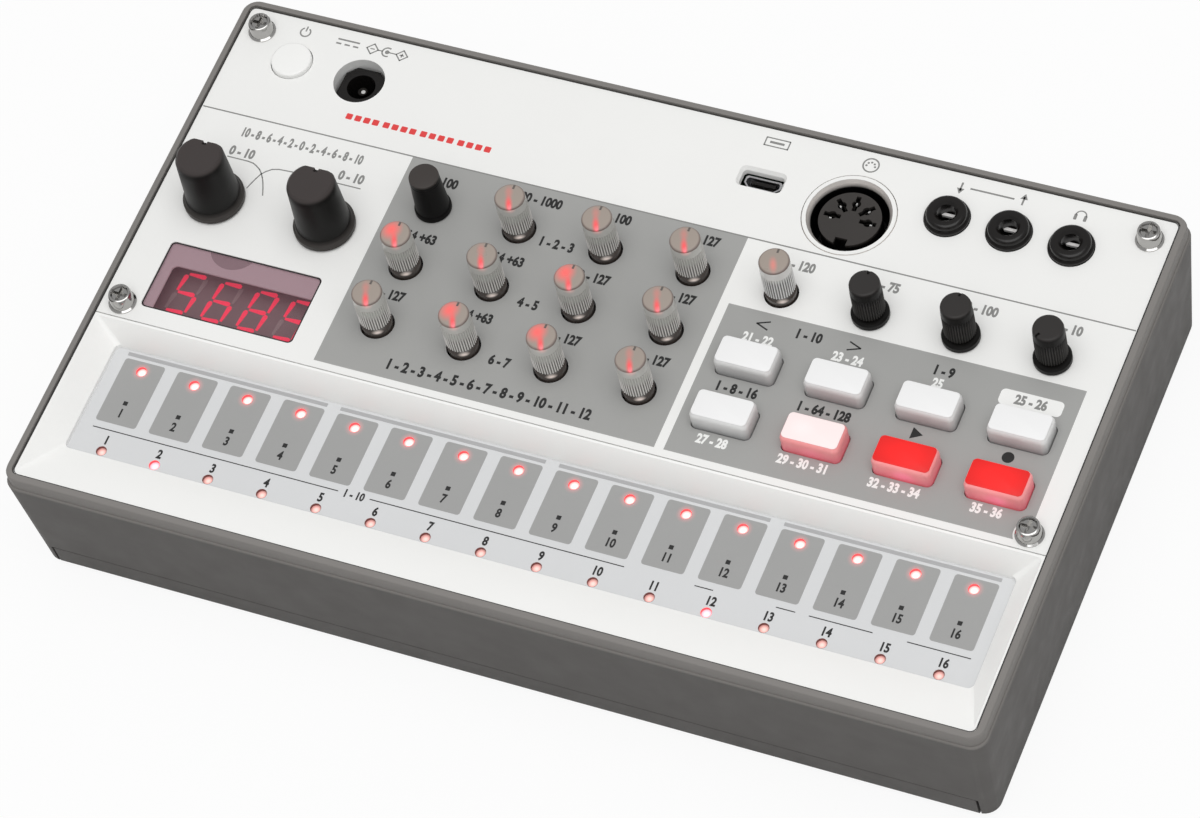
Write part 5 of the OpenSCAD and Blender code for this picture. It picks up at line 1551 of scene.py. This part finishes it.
@dataclass
class Inside(SubAssembly):
    """What the case holds out of sight."""

    def build(self) -> None:
        """Give the boards, the control bodies and the cells their finishes."""
        self.shop.dress(SOLDER_MASK, "main_board", "touch_board")
        self.shop.dress(CHIP_EPOXY, "board_chips", "small_pot_bodies", "power_switch")
        self.shop.dress(STEEL, "encoder_body", "tone_pot_bodies", "board_screws", "battery_contacts",
                        "battery_springs")
        self.shop.dress(RIBBON, "ribbon_cable")
        self.shop.dress(MAT_SILICONE, "key_mat")
        self.shop.dress(CELL_SLEEVE, "aa_cells")


@dataclass
class Studio:
    """The pale floor, the soft lamp, the even light and the camera.

    Attributes:
        eye: place of the camera.
        aim: its turns about X, Y and Z, in radians.
        lens: its focal length.
        lamp_at: place of the lamp, in metres.
        lamp_aim: the point that it faces, in metres.
        lamp_side: length of its sides, in metres.
        lamp_watts: its power.
        room: brightness of the even light.
        ground: half the floor's side, in metres.
        paper: darkest and palest tone of the floor.
        bright: share of plain white in what the camera sees of the floor.
    """

    eye: Place = (323.05, -455.03, 831.1)
    aim: Place = (0.57933648, 0.15821468, 0.38430197)
    lens: float = 159.7533
    lamp_at: Place = (0.25, -0.3, 1.6)
    lamp_aim: Place = (0.0, 0.0, 0.02)
    lamp_side: float = 1.6
    lamp_watts: float = 18.5
    room: float = 0.53
    ground: float = 3.0
    paper: Point = (0.8, 0.83)
    bright: float = 0.9

    def build(self) -> None:
        """Set up the whole studio."""
        bpy.context.scene.view_settings.view_transform = "Standard"
        self._camera()
        self._floor()
        self._sky()
        self._lamp()

    def _camera(self) -> None:
        """Set the camera."""
        data = bpy.data.cameras.new("camera")
        data.lens = self.lens
        data.sensor_width = 36.0
        data.clip_start = 0.01
        data.clip_end = 20.0
        camera = put_out("camera", data)
        camera.location = Vector(self.eye) * MM
        camera.rotation_euler = Euler(self.aim)
        bpy.context.scene.camera = camera

    def _lamp(self) -> None:
        """Hang a square soft lamp that faces the machine."""
        data = bpy.data.lights.new("top_lamp", "AREA")
        data.size = self.lamp_side
        data.energy = self.lamp_watts
        light = put_out("top_lamp", data)
        light.location = self.lamp_at
        way = Vector(self.lamp_aim) - Vector(self.lamp_at)
        light.rotation_euler = way.to_track_quat("-Z", "Y").to_euler()

    def _floor(self) -> None:
        """Lay a pale floor that stays near white and keeps the machine's shadow."""
        bm = bmesh.new()
        bmesh.ops.create_grid(bm, x_segments=1, y_segments=1, size=self.ground)
        mesh = mesh_of(bm, "floor")
        made = bpy.data.materials.new("floor_paper")
        nodes = Nodes(made)
        nodes.shader.inputs["Roughness"].default_value = 0.9
        nodes.shader.inputs["Specular IOR Level"].default_value = 0.1
        dark, pale = ((tone, tone, tone, 1.0) for tone in self.paper)
        tone = nodes.blend(nodes.noise(60.0, RELIEF_DETAIL), dark, pale)
        nodes.feed(nodes.shader.inputs["Base Color"], tone)
        seen = nodes.add("ShaderNodeLightPath").outputs["Is Camera Ray"]
        lit = nodes.either(nodes.math("MULTIPLY", seen, self.bright), nodes.shader,
                           nodes.add("ShaderNodeEmission"))
        nodes.feed(nodes.tree.nodes["Material Output"].inputs["Surface"], lit)
        mesh.materials.append(made)
        floor = put_out("floor", mesh)

    def _sky(self) -> None:
        """Light the room evenly, and show white where nothing stands."""
        world = bpy.data.worlds.new("room")
        bpy.context.scene.world = world
        nodes = Nodes(world)
        backdrop = nodes.add("ShaderNodeBackground")
        for shader in (nodes.shader, backdrop):
            shader.inputs["Color"].default_value = WHITE
        nodes.shader.inputs["Strength"].default_value = self.room
        seen = nodes.add("ShaderNodeLightPath").outputs
        through = nodes.math("MAXIMUM", seen["Is Camera Ray"], seen["Is Transmission Ray"])
        nodes.feed(nodes.tree.nodes["World Output"].inputs["Surface"],
                   nodes.either(through, nodes.shader, backdrop))


def main() -> None:
    """Build every sub-assembly round the frame."""
    logging.basicConfig(level=logging.INFO, format="%(name)s: %(message)s")
    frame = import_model()
    shop = Workshop(frame)
    Studio().build()
    for kind in (CaseShell, FrontPanel, PanelLegends, TouchStrip, Display, Keys, RotaryKnobs, Sockets,
                 Fasteners, Inside):
        kind(shop).build()
        log.info("%s is built", kind.__name__)


if __name__ == "__main__":
    main()
